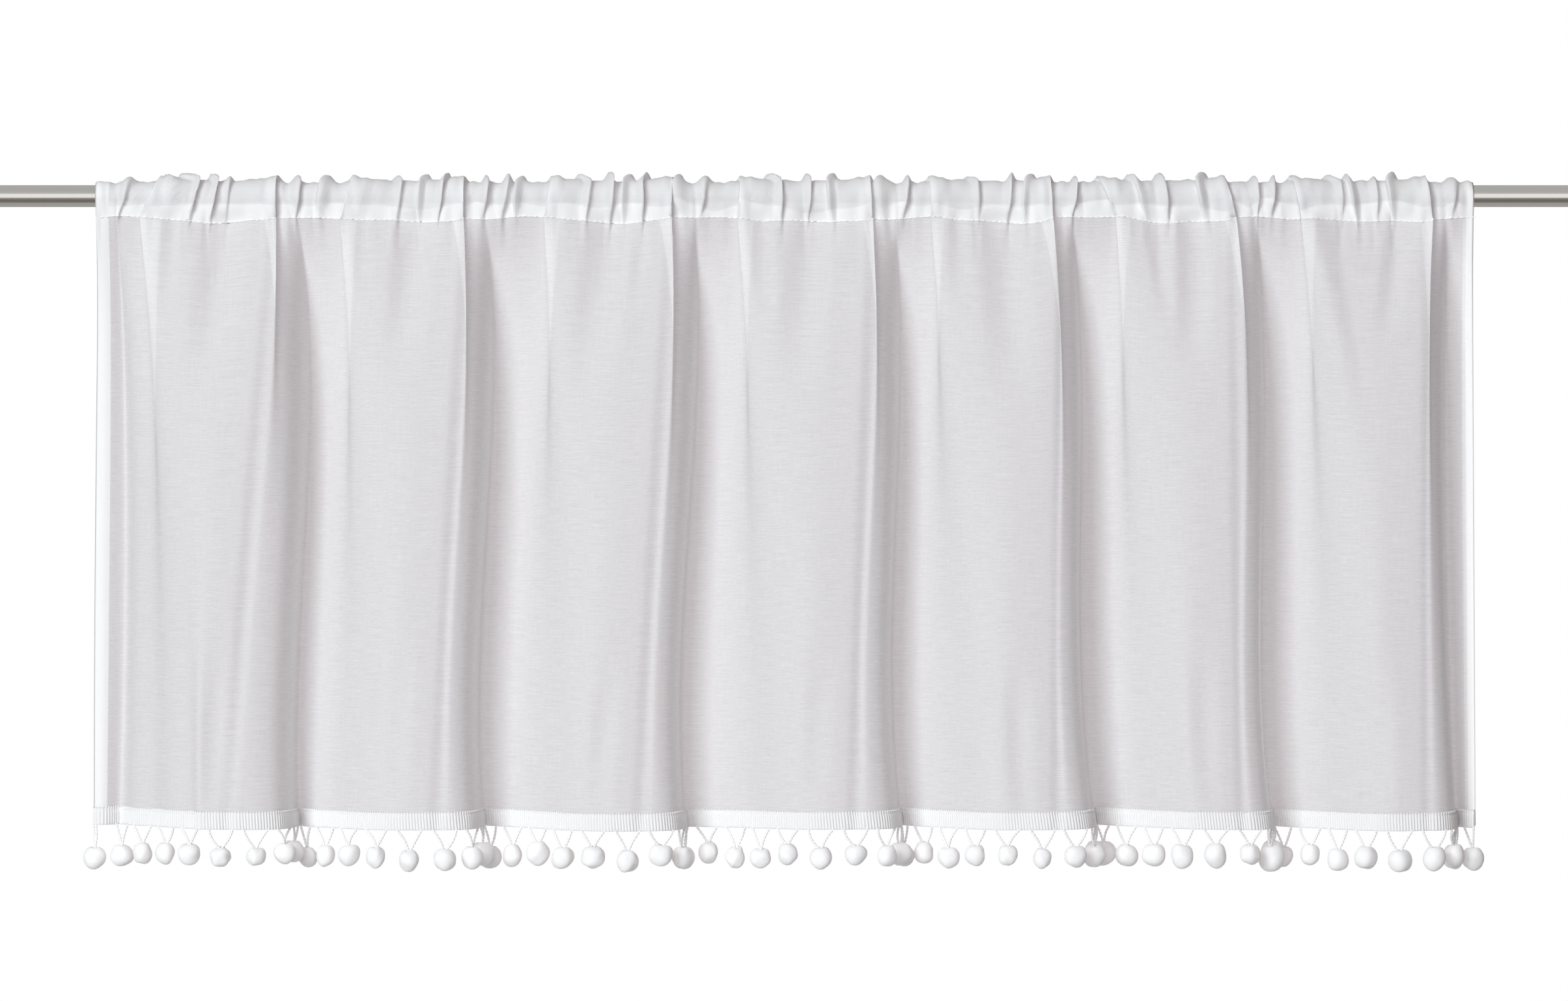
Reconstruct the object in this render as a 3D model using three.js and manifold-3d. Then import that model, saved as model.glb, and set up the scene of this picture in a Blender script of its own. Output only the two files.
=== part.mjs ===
// A sheer cafe curtain with a pompom trim, gathered on a plain round steel rod.
// Sizes are in millimetres. +X runs along the rod, +Z is up and the front of the cloth faces -Y.
// The origin is the middle of the rod's left end face.

import * as THREE from "three";
import { mergeVertices } from "three/addons/utils/BufferGeometryUtils.js";
import Module from "manifold-3d";

const wasm = await Module();
wasm.setup();

// Driving sizes
const CLEARANCE = 0.3;
const ROD = { radius: 7.5, length: 1120, bevel: 0.8, sides: 40 };
const CLOTH = { flatWidth: 1400, thickness: 1, leftEdge: -471, rightEdge: 474 };
const SEAM_BELOW_ROD = 15;
const DROP = { middle: 208, hem: 415 };
const BRAID = { height: 11.5, thickness: 1.2, belowHem: 1.6 };
const POMPOM = { count: 60, radius: 7.8, height: 16.4, start: 0.25, apart: 0.6, sides: 6, rings: 3 };
const PUSH_ROUNDS = 200;
const THREAD = { width: 1.2, length: 16, rootShare: 0.39, sides: 3 };

// Levels of the cloth below the pocket seam, and steps of the pocket round the rod
const PANEL_DROPS = [415, 403, 270, 130, 45, 0];
const POCKET_STEPS = 5;

// Where each pleat lies along the rod, from the rod's middle: on top of the rod, at the pocket seam, half way
// down and at the hem. The valley is the hollow to the left of the pleat, left and right are its two rolled
// edges, each lap is how far the cloth doubles back behind that edge under the heading and at the hem, and
// forward moves the whole pleat at the hem.
const PLEATS = [
  {
    valley: [-452, -456, -450, -447],
    left: [-426, -440, -433, -432],
    right: [-346, -346, -354, -359],
    leftLap: [16, 8],
    rightLap: [9, 2],
    forward: 0,
  },
  {
    valley: [-329, -332, -321, -328],
    left: [-295, -303, -302, -309],
    right: [-218, -218, -218, -223],
    leftLap: [10, 5],
    rightLap: [8, 2],
    forward: 1,
  },
  {
    valley: [-203, -203, -193, -199],
    left: [-159, -164, -166, -171],
    right: [-76, -76, -81, -90],
    leftLap: [11, 3],
    rightLap: [9, 4],
    forward: -1,
  },
  {
    valley: [-62, -61, -54, -61],
    left: [-30, -32, -28, -24],
    right: [59, 61, 54, 57],
    leftLap: [10, 4],
    rightLap: [7, 4],
    forward: 3,
  },
  {
    valley: [78, 76, 82, 86],
    left: [99, 100, 104, 109],
    right: [182, 184, 189, 200],
    leftLap: [8, 2],
    rightLap: [9, 4],
    forward: 4,
  },
  {
    valley: [198, 197, 214, 224],
    left: [214, 226, 230, 242],
    right: [301, 309, 313, 316],
    leftLap: [9, 4],
    rightLap: [8, 4],
    forward: -2,
  },
  {
    valley: [322, 323, 336, 343],
    left: [346, 352, 361, 370],
    right: [438, 443, 436, 432],
    leftLap: [10, 5],
    rightLap: [8, 5],
    forward: -2,
  },
];
const LAST_VALLEY = [455, 454, 459, 460];

// One pleat from its valley to the next. from is the edge that a point is measured from. In the heading the
// point lies ridge along the rod from there and stands heading off the rod. Lower down it lies that many laps
// from there, and hang more where the fold hangs open. fold is its place between the back (0) and the front
// (1).
const PLEAT_POINTS = [
  { from: "valley", ridge: 0, heading: 0, laps: 0, hang: 0, fold: 0 },
  { from: "left", ridge: -7, heading: 0.2, laps: -0.9, hang: -9, fold: 0.14 },
  { from: "left", ridge: -4, heading: 0.6, laps: 0.5, hang: 0, fold: 0.3 },
  { from: "left", ridge: -2.6, heading: 2, laps: 1.2, hang: 4, fold: 0.44 },
  { from: "left", ridge: -1.6, heading: 3.6, laps: 0.45, hang: 5, fold: 0.56 },
  { from: "left", ridge: 0, heading: 5, laps: -0.2, hang: 8, fold: 0.68 },
  { from: "left", ridge: 2.4, heading: 4.6, laps: 0.5, hang: 16, fold: 0.81 },
  { from: "left", ridge: 9, heading: 2, laps: 1.8, hang: 26, fold: 0.94 },
  { from: "middle", ridge: 0, heading: 0.8, laps: 0, hang: 4, fold: 1.02 },
  { from: "right", ridge: -9, heading: 2, laps: -1.8, hang: -12, fold: 1 },
  { from: "right", ridge: -2.4, heading: 4.6, laps: -0.5, hang: -4, fold: 0.93 },
  { from: "right", ridge: 0, heading: 5, laps: 0.2, hang: 0, fold: 0.82 },
  { from: "right", ridge: 1.6, heading: 3.6, laps: -0.45, hang: 1, fold: 0.68 },
  { from: "right", ridge: 2.6, heading: 2, laps: -1.2, hang: 3, fold: 0.52 },
  { from: "right", ridge: 4, heading: 0.6, laps: -0.5, hang: 8, fold: 0.36 },
  { from: "right", ridge: 7, heading: 0.2, laps: 0.9, hang: 14, fold: 0.17 },
];
const FOLD_MIDDLE = 0.55;
const BORDER_POINTS = [
  { inset: 0, heading: 0.6, fold: 0.12 },
  { inset: 7, heading: 0.4, fold: 0.15 },
];

// Points of the pleat between which its face and the valley before it run, for placing tucks
const FACE_SPAN = [7, 9];
const VALLEY_SPAN = [-1, 1];

// Small tucks of the gathered heading: the pleat, whether the tuck is on its face or in the valley before it,
// its place across that stretch, its height, half its width and how far its crest leans along the rod
const TUCKS = [
  { pleat: 0, span: FACE_SPAN, share: 0.12, height: 4.5, half: 2.6, lean: 3 },
  { pleat: 0, span: FACE_SPAN, share: 0.5, height: 5, half: 4, lean: 2 },
  { pleat: 1, span: VALLEY_SPAN, share: 0.3, height: 4.5, half: 2.6, lean: 1 },
  { pleat: 1, span: VALLEY_SPAN, share: 0.8, height: 4, half: 3, lean: 2 },
  { pleat: 1, span: FACE_SPAN, share: 0.5, height: 4.5, half: 3, lean: -1 },
  { pleat: 1, span: FACE_SPAN, share: 0.88, height: 3.5, half: 2.6, lean: 0 },
  { pleat: 2, span: VALLEY_SPAN, share: 0.42, height: 5, half: 3, lean: 1 },
  { pleat: 2, span: VALLEY_SPAN, share: 0.66, height: 4.5, half: 2.6, lean: 2 },
  { pleat: 2, span: VALLEY_SPAN, share: 0.88, height: 4.5, half: 3, lean: -2 },
  { pleat: 2, span: FACE_SPAN, share: 0.5, height: 5, half: 4, lean: -2 },
  { pleat: 2, span: FACE_SPAN, share: 0.85, height: 4, half: 2.6, lean: -1 },
  { pleat: 3, span: VALLEY_SPAN, share: 0.45, height: 4.5, half: 3, lean: 1 },
  { pleat: 3, span: FACE_SPAN, share: 0.2, height: 4, half: 2.6, lean: 0 },
  { pleat: 3, span: FACE_SPAN, share: 0.5, height: 3.5, half: 3.4, lean: 1 },
  { pleat: 3, span: FACE_SPAN, share: 0.8, height: 4.5, half: 2.8, lean: -1 },
  { pleat: 4, span: VALLEY_SPAN, share: 0.35, height: 5, half: 3.4, lean: 1 },
  { pleat: 4, span: FACE_SPAN, share: 0.3, height: 3, half: 4, lean: 1 },
  { pleat: 4, span: FACE_SPAN, share: 0.65, height: 4, half: 3, lean: 0 },
  { pleat: 5, span: VALLEY_SPAN, share: 0.35, height: 4.5, half: 2.6, lean: 1 },
  { pleat: 5, span: FACE_SPAN, share: 0.35, height: 4.5, half: 3.4, lean: -1 },
  { pleat: 5, span: FACE_SPAN, share: 0.85, height: 4.5, half: 2.6, lean: -3 },
  { pleat: 6, span: VALLEY_SPAN, share: 0.4, height: 4.5, half: 3, lean: 2 },
  { pleat: 6, span: FACE_SPAN, share: 0.35, height: 5, half: 3.6, lean: -1 },
  { pleat: 6, span: FACE_SPAN, share: 0.75, height: 4.5, half: 2.8, lean: -2 },
];
const TUCK_FADE = 70;
const TUCK_MARGIN = 1.25;

// Drop below the seam over which the heading's ridges turn into lapped folds
const LAP_START = 110;

// How the pocket seam and the hem wander up and down: the sizes of a long and a short wave, the distance
// along the rod in which each turns by one radian, and how far the short one starts on
const SEAM_WAVE = { longSize: 0.9, long: 31, shortSize: 0.6, short: 12.7, shift: 1 };
const HEM_WAVE = { longSize: 0.6, long: 93, shortSize: 0.4, short: 38, shift: 1 };

// Samples to a stretch of the fold curve where its length is taken, halvings that fit it to the flat width
// and the deepest fold that is tried
const CURVE_SAMPLES = 12;
const FIT_HALVINGS = 30;
const MOST_DEPTH = 100;

// Least share of a crease's true offset, so that a sharp crease doesn't grow a spike
const CREASE_LIMIT = 0.45;

const { lerp, smoothstep } = THREE.MathUtils;

// Place of an edge at one level: straight up the pocket, and a parabola through seam, middle and hem below.
function placeAt([head, seam, middle, hem], level) {
  if (level.rise > 0) return lerp(seam, head, level.rise);
  const d = level.drop;
  const { middle: m, hem: h } = DROP;
  const fromSeam = (seam * (d - m) * (d - h)) / (m * h);
  const fromMiddle = (middle * d * (d - h)) / (m * (m - h));
  const fromHem = (hem * d * (d - m)) / (h * (h - m));
  return fromSeam + fromMiddle + fromHem;
}

// Control points of the cloth at one level, seen from above: x along the rod, out is how far it stands to the
// front. depth is how deep the hanging folds are from back to front.
function controlPoints(level, depth) {
  const fall = level.drop / DROP.hem;
  const open = fall * (2 - fall);
  const lapped = smoothstep(level.drop, 0, LAP_START);
  const outOf = (point, forward) =>
    point.heading * (1 - open) + depth * (point.fold - FOLD_MIDDLE) + forward * open;
  const points = BORDER_POINTS.map((border) => ({ x: CLOTH.leftEdge + border.inset, out: outOf(border, 0) }));
  for (const pleat of PLEATS) {
    const valley = placeAt(pleat.valley, level);
    const left = placeAt(pleat.left, level);
    const right = placeAt(pleat.right, level);
    const edges = { valley, left, right, middle: (left + right) / 2 };
    const leftLap = lerp(...pleat.leftLap, open);
    const rightLap = lerp(...pleat.rightLap, open);
    const laps = { left: leftLap, right: rightLap, valley: 0, middle: 0 };
    for (const point of PLEAT_POINTS) {
      const hung = point.laps * laps[point.from] + point.hang * open;
      const x = edges[point.from] + lerp(point.ridge, hung, lapped);
      points.push({ x, out: outOf(point, pleat.forward) });
    }
  }
  points.push({ x: placeAt(LAST_VALLEY, level), out: outOf(PLEAT_POINTS[0], 0) });
  for (const border of BORDER_POINTS.toReversed()) {
    points.push({ x: CLOTH.rightEdge - border.inset, out: outOf(border, 0) });
  }
  return points;
}

// Uniform cubic B-spline over the control points, which starts and ends on the first and the last of them.
function splineAt(points, u) {
  const last = points.length - 1;
  const i = Math.min(Math.floor(u), last - 1);
  const t = u - i;
  const beyond = (end, inner) => ({ x: 2 * end.x - inner.x, out: 2 * end.out - inner.out });
  const before = i > 0 ? points[i - 1] : beyond(points[0], points[1]);
  const after = i + 2 <= last ? points[i + 2] : beyond(points[last], points[last - 1]);
  const weights = [
    (1 - t) ** 3 / 6,
    (3 * t ** 3 - 6 * t ** 2 + 4) / 6,
    (-3 * t ** 3 + 3 * t ** 2 + 3 * t + 1) / 6,
    t ** 3 / 6,
  ];
  const four = [before, points[i], points[i + 1], after];
  const mix = (key) => four.reduce((sum, point, k) => sum + weights[k] * point[key], 0);
  return { x: mix("x"), out: mix("out") };
}

// Where each tuck lies on the fold curve, and its half width there, both in steps of control points.
const seamControls = controlPoints({ rise: 0, drop: 0 }, 0);
const LAST_U = seamControls.length - 1;
const SMALL_STEP = 0.01;
const tucks = TUCKS.map((tuck) => {
  const first = BORDER_POINTS.length + tuck.pleat * PLEAT_POINTS.length;
  const u = first + lerp(...tuck.span, tuck.share);
  const [before, after] = [u - SMALL_STEP, u + SMALL_STEP].map((place) => splineAt(seamControls, place).x);
  const speed = (after - before) / (2 * SMALL_STEP);
  return { ...tuck, u, halfU: tuck.half / speed };
});

// The cloth's section at one level, at the given places along the curve: the spline with the tucks raised on
// it, each a squared cosine that fades below the seam.
function sectionAt(level, depth, us) {
  const points = controlPoints(level, depth);
  const fade = 1 - smoothstep(level.drop, 0, TUCK_FADE);
  return us.map((u) => {
    const point = splineAt(points, u);
    for (const tuck of tucks) {
      const across = Math.abs(u - tuck.u) / tuck.halfU;
      if (across >= 1) continue;
      const bump = fade * Math.cos((across * Math.PI) / 2) ** 2;
      point.out += tuck.height * bump;
      point.x += tuck.lean * level.rise * bump;
    }
    return point;
  });
}

// Running length along a section.
function lengthsAlong(section) {
  const lengths = [0];
  for (let i = 1; i < section.length; i++) {
    const step = Math.hypot(section[i].x - section[i - 1].x, section[i].out - section[i - 1].out);
    lengths.push(lengths[i - 1] + step);
  }
  return lengths;
}

// Depth of the folds at one level that makes the section just as long as the cloth is wide. The heading has
// none: it takes up the rest of the width in gathers that are too fine for the solid.
const denseUs = Array.from({ length: LAST_U * CURVE_SAMPLES + 1 }, (_, k) => k / CURVE_SAMPLES);
function depthAt(level) {
  if (level.drop === 0) return 0;
  let [low, high] = [0, MOST_DEPTH];
  for (let k = 0; k < FIT_HALVINGS; k++) {
    const middle = (low + high) / 2;
    if (lengthsAlong(sectionAt(level, middle, denseUs)).at(-1) < CLOTH.flatWidth) low = middle;
    else high = middle;
  }
  return low;
}

// Columns of the cloth solid: three on each tuck, and one at each control point that is clear of them.
function clothColumns() {
  const clearOfTucks = (u) => tucks.every((tuck) => Math.abs(u - tuck.u) > TUCK_MARGIN * tuck.halfU);
  const plain = Array.from({ length: LAST_U + 1 }, (_, u) => u).filter(clearOfTucks);
  const onTucks = tucks.flatMap((tuck) => [tuck.u - tuck.halfU, tuck.u, tuck.u + tuck.halfU]);
  return [...plain, ...onTucks].sort((a, b) => a - b);
}

// The pocket's path round the rod, up its front and down its back: a point in y and z, the way that its folds
// stand out, and how far it has risen from the seam to the top. It is a polygon that clears the rod.
function pocketPath() {
  const start = Math.acos((ROD.radius + CLEARANCE) / SEAM_BELOW_ROD);
  const step = (2 * Math.PI - 2 * start) / POCKET_STEPS;
  const radius = (ROD.radius + CLEARANCE) / Math.cos(step / 2) + CLOTH.thickness / 2;
  return Array.from({ length: POCKET_STEPS + 1 }, (_, k) => {
    const angle = start + step * k;
    const outY = -Math.sin(angle);
    const outZ = -Math.cos(angle);
    return { y: radius * outY, z: radius * outZ, outY, outZ, rise: (1 + outZ) / 2 };
  });
}

// Slow rise and fall of a sewn edge: a long wave and a shorter one.
function wander(x, { longSize, long, shortSize, short, shift }) {
  return longSize * Math.sin(x / long) + shortSize * Math.sin(x / short + shift);
}

// Middle surface of the cloth: rows of points from the hem up to the seam, then round the pocket.
function clothRows(us) {
  const rows = PANEL_DROPS.map((drop) => {
    const level = { rise: 0, drop };
    const section = sectionAt(level, depthAt(level), us);
    return section.map(({ x, out }) => {
      const lift = lerp(wander(x, SEAM_WAVE), wander(x, HEM_WAVE), drop / DROP.hem);
      return new THREE.Vector3(x, -out, -SEAM_BELOW_ROD - drop + lift);
    });
  });
  for (const { y, z, outY, outZ, rise } of pocketPath()) {
    const section = sectionAt({ rise, drop: 0 }, 0, us);
    rows.push(section.map(({ x, out }) => new THREE.Vector3(x, y + out * outY, z + out * outZ)));
  }
  return rows;
}

// Vectors to the front of the cloth at rows of points, longer at a crease so that an offset along them keeps
// the sheet's thickness on both sides of it. The last row runs on to the seam.
function rowNormals(rows, seamRow) {
  return rows.map((row, r) => {
    const below = rows[Math.max(r - 1, 0)];
    const above = rows[r + 1] ?? rows[seamRow];
    return row.map((point, i) => {
      const up = above[i].clone().sub(below[i]);
      const before = point.clone().sub(row[i - 1] ?? point);
      const after = (row[i + 1] ?? point).clone().sub(point);
      const sides = [before, after].filter((along) => along.lengthSq() > 0);
      const facing = sides.map((along) => along.cross(up).normalize());
      const normal = facing[0].clone().add(facing.at(-1)).normalize();
      return normal.divideScalar(Math.max(normal.dot(facing[0]), CREASE_LIMIT));
    });
  });
}

// Closed solid from rings of points that all run the same way round. A band of faces joins the pair of ring
// places in each loop, split along one diagonal or, where it is turned, along the other. caps are the
// triangles at the two ends.
function solidFromRings(rings, loops, caps) {
  const count = rings[0].length;
  const triangles = [];
  for (let r = 0; r + 1 < rings.length; r++) {
    for (const { from, to, turned } of loops) {
      const a = r * count + from;
      const b = r * count + to;
      if (turned) triangles.push(a, b, a + count, b, b + count, a + count);
      else triangles.push(a, b, b + count, a, b + count, a + count);
    }
  }
  const lastRing = (rings.length - 1) * count;
  for (const [a, b, c] of caps) {
    triangles.push(a, b, c, lastRing + a, lastRing + c, lastRing + b);
  }
  const geometry = new THREE.BufferGeometry();
  const positions = rings.flat().flatMap((point) => point.toArray());
  geometry.setAttribute("position", new THREE.Float32BufferAttribute(positions, 3));
  geometry.setIndex(triangles);
  return geometry;
}

const columns = clothColumns();
const rows = clothRows(columns);
const SEAM_ROW = PANEL_DROPS.length - 1;
const normals = rowNormals(rows, SEAM_ROW);

// The curtain: a sheet with a tunnel along its top. Each ring runs up the front of the cloth, over the
// outside of the pocket and down the back, and then round the inside of the tunnel. The two layers meet at
// the seam.
function curtainGeometry() {
  const half = CLOTH.thickness / 2;
  const at = (r, i, offset) => rows[r][i].clone().addScaledVector(normals[r][i], offset);
  const layers = (r) => (r === SEAM_ROW ? 2 : 1);
  const rings = columns.map((_, i) => {
    const front = PANEL_DROPS.map((_drop, r) => at(r, i, half * layers(r)));
    const back = PANEL_DROPS.map((_drop, r) => at(r, i, -half * layers(r))).reverse();
    const outside = rows.slice(SEAM_ROW + 1).map((_row, k) => at(SEAM_ROW + 1 + k, i, half));
    const inside = rows.slice(SEAM_ROW + 1).map((_row, k) => at(SEAM_ROW + 1 + k, i, -half));
    const tunnelFloor = rows[SEAM_ROW][i].clone().add(new THREE.Vector3(0, 0, 3 * half));
    return [...front, ...outside, ...back, tunnelFloor, ...inside];
  });

  const panel = PANEL_DROPS.length;
  const pocket = rows.length - panel;
  const outer = 2 * panel + pocket;
  const floor = outer;
  const total = outer + 1 + pocket;
  const loops = [];
  for (let k = 0; k < outer; k++) loops.push({ from: (k + 1) % outer, to: k, turned: k >= panel + pocket });
  for (let k = floor; k < total; k++) {
    loops.push({ from: k, to: k + 1 < total ? k + 1 : floor, turned: true });
  }

  const caps = [];
  const addQuad = (a, b, c, d) => caps.push([a, b, c], [a, c, d]);
  for (let k = 0; k + 1 < panel; k++) addQuad(k, k + 1, outer - 2 - k, outer - 1 - k);
  for (let k = 0; k <= pocket; k++) {
    const innerNext = k < pocket ? floor + k + 1 : floor;
    addQuad(SEAM_ROW + k, SEAM_ROW + k + 1, innerNext, floor + k);
  }
  caps.push([SEAM_ROW, floor, panel + pocket]);
  return solidFromRings(rings, loops, caps);
}

// Place on the braid at one column: height above the hem and distance in front of the cloth.
function braidPoint(i, aboveHem, inFront) {
  const share = aboveHem / (PANEL_DROPS[0] - PANEL_DROPS[1]);
  const point = rows[0][i].clone().lerp(rows[1][i], share);
  const normal = normals[0][i].clone().lerp(normals[1][i], share);
  return point.addScaledVector(normal, CLOTH.thickness / 2 + CLEARANCE + inFront);
}

// The braid: a ribbon on the front of the hem that follows every fold.
function braidGeometry() {
  const foot = -BRAID.belowHem;
  const top = foot + BRAID.height;
  const rings = columns.map((_, i) => [
    braidPoint(i, foot, BRAID.thickness),
    braidPoint(i, top, BRAID.thickness),
    braidPoint(i, top, 0),
    braidPoint(i, foot, 0),
  ]);
  const loops = [
    { from: 1, to: 0 },
    { from: 2, to: 1 },
    { from: 3, to: 2, turned: true },
    { from: 0, to: 3 },
  ];
  const caps = [
    [0, 1, 2],
    [0, 2, 3],
  ];
  return solidFromRings(rings, loops, caps);
}

// A straight thread of a few sides between two points.
function threadGeometry(from, to) {
  const along = to.clone().sub(from).normalize();
  const side = new THREE.Vector3(0, 1, 0).cross(along).normalize();
  const other = side.clone().cross(along);
  const ring = (centre) =>
    Array.from({ length: THREAD.sides }, (_, k) => {
      const angle = (2 * Math.PI * k) / THREAD.sides;
      return centre
        .clone()
        .addScaledVector(side, (THREAD.width / 2) * Math.cos(angle))
        .addScaledVector(other, (THREAD.width / 2) * Math.sin(angle));
    });
  const loops = Array.from({ length: THREAD.sides }, (_, k) => ({ from: (k + 1) % THREAD.sides, to: k }));
  const caps = Array.from({ length: THREAD.sides - 2 }, (_, k) => [0, k + 1, k + 2]);
  return solidFromRings([ring(from), ring(to)], loops, caps);
}

// Where the pompoms hang: each under the middle of its two roots on the braid, then pushed apart so that none
// touch.
function hangPompoms() {
  const hemLevel = { rise: 0, drop: DROP.hem };
  const hem = sectionAt(hemLevel, depthAt(hemLevel), columns);
  const flats = lengthsAlong(hem);
  const rootAt = (flat) => {
    const goal = THREE.MathUtils.clamp(flat, THREAD.width, flats.at(-1) - THREAD.width);
    const i = flats.findIndex((length) => length > goal) - 1;
    const share = (goal - flats[i]) / (flats[i + 1] - flats[i]);
    const [a, b] = [i, i + 1].map((column) => braidPoint(column, 0, BRAID.thickness / 2));
    return a.lerp(b, share);
  };
  const pitch = flats.at(-1) / POMPOM.count;
  const pompoms = Array.from({ length: POMPOM.count }, (_, k) => {
    const flat = pitch * (k + POMPOM.start);
    const roots = [rootAt(flat - THREAD.rootShare * pitch), rootAt(flat + THREAD.rootShare * pitch)];
    const top = roots[0].clone().lerp(roots[1], 0.5);
    return { roots, top };
  });
  const distance = 2 * POMPOM.radius + POMPOM.apart;
  for (let round = 0; round < PUSH_ROUNDS; round++) {
    for (let a = 0; a < pompoms.length; a++) {
      for (let b = a + 1; b < pompoms.length; b++) {
        const gapX = pompoms[b].top.x - pompoms[a].top.x;
        const gapY = pompoms[b].top.y - pompoms[a].top.y;
        const gap = Math.hypot(gapX, gapY);
        if (gap >= distance) continue;
        const push = (distance - gap) / gap / 2;
        pompoms[a].top.x -= gapX * push;
        pompoms[a].top.y -= gapY * push;
        pompoms[b].top.x += gapX * push;
        pompoms[b].top.y += gapY * push;
      }
    }
  }
  for (const { roots, top } of pompoms) {
    const squares = roots.map((root) => (root.x - top.x) ** 2 + (root.y - top.y) ** 2);
    const aside = (squares[0] + squares[1]) / 2;
    const fall = Math.sqrt(Math.max(THREAD.length ** 2 - aside, (THREAD.length / 2) ** 2));
    top.z = (roots[0].z + roots[1].z) / 2 - fall;
  }
  return pompoms;
}

// A pompom: a slightly flat ball of a few rings.
function pompomGeometry(top) {
  const ball = new THREE.SphereGeometry(POMPOM.radius, POMPOM.sides, POMPOM.rings + 1);
  ball.rotateX(Math.PI / 2);
  ball.scale(1, 1, POMPOM.height / (2 * POMPOM.radius));
  ball.translate(top.x, top.y, top.z - POMPOM.height / 2);
  return ball;
}

// A closed geometry as a solid that can be joined, and a joined solid as a geometry.
function toSolid(geometry) {
  const bare = geometry.clone();
  bare.deleteAttribute("normal");
  bare.deleteAttribute("uv");
  const merged = mergeVertices(bare);
  const mesh = new wasm.Mesh({
    numProp: 3,
    vertProperties: merged.attributes.position.array,
    triVerts: new Uint32Array(merged.index.array),
  });
  return new wasm.Manifold(mesh);
}
function toGeometry(solid) {
  const mesh = solid.getMesh();
  const geometry = new THREE.BufferGeometry();
  geometry.setAttribute("position", new THREE.Float32BufferAttribute(mesh.vertProperties, 3));
  geometry.setIndex(new THREE.BufferAttribute(mesh.triVerts, 1));
  return geometry;
}

// The trim: the braid with two threads and a pompom at each place, all one length of trim. Slivers where they
// join are closed up.
const SLIVER = 0.01;
function trimGeometry() {
  let trim = toSolid(braidGeometry());
  for (const { roots, top } of hangPompoms()) {
    const inside = top.clone().setZ(top.z - POMPOM.height / 4);
    for (const root of roots) trim = trim.add(toSolid(threadGeometry(root, inside)));
    trim = trim.add(toSolid(pompomGeometry(top)));
  }
  return toGeometry(trim.simplify(SLIVER));
}

// The rod: a round bar with bevelled rims, along X.
function rodGeometry() {
  const end = ROD.length / 2;
  const profile = [
    new THREE.Vector2(0, -end),
    new THREE.Vector2(ROD.radius - ROD.bevel, -end),
    new THREE.Vector2(ROD.radius, -end + ROD.bevel),
    new THREE.Vector2(ROD.radius, end - ROD.bevel),
    new THREE.Vector2(ROD.radius - ROD.bevel, end),
    new THREE.Vector2(0, end),
  ];
  return new THREE.LatheGeometry(profile, ROD.sides).rotateZ(-Math.PI / 2);
}

const steel = new THREE.MeshStandardMaterial({ color: 0xa9a8a4, roughness: 0.35, metalness: 1 });
const voile = new THREE.MeshStandardMaterial({ color: 0xefeef2, roughness: 0.95, metalness: 0 });
const cotton = new THREE.MeshStandardMaterial({ color: 0xf8f8f8, roughness: 1, metalness: 0 });

function named(name, geometry, material) {
  const mesh = new THREE.Mesh(geometry, material);
  mesh.name = name;
  return mesh;
}

const curtainOnRod = new THREE.Group();
curtainOnRod.add(
  named("rod", rodGeometry(), steel),
  named("curtain", curtainGeometry(), voile),
  named("pompom_trim", trimGeometry(), cotton),
);
curtainOnRod.position.x = ROD.length / 2;

export default curtainOnRod;
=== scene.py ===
import bmesh
import bpy
import numpy as np
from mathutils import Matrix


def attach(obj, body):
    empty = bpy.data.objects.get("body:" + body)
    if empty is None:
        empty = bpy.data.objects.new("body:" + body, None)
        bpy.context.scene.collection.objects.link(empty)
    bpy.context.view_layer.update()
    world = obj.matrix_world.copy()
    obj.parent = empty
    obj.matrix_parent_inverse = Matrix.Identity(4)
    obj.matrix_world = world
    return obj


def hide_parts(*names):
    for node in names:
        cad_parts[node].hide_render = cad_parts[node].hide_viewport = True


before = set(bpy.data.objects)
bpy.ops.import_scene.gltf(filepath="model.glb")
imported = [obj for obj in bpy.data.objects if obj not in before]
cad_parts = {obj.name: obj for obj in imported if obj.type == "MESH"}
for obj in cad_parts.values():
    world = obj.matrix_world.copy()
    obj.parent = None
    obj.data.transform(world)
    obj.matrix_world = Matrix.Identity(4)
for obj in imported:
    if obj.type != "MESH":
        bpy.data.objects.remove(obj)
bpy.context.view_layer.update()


# The rod
# A round stainless steel tube, drawn to size, brushed along its length and cut square with a small bevel at
# each end. The curtain's pocket is threaded on it, and its ends sit in what the window frame holds.
MM = 0.001
ROD_RADIUS = 7.5 * MM
ROD_LENGTH = 1120 * MM
ROD_BEVEL = 0.8 * MM
ROD_SIDES = 128
ROD_STATIONS = 60
# Share of the end's radius where one more ring keeps the shading of the end flat
ROD_END_RING = 0.98
# Points closer than this are one point
SAME_POINT = 1e-7


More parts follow.
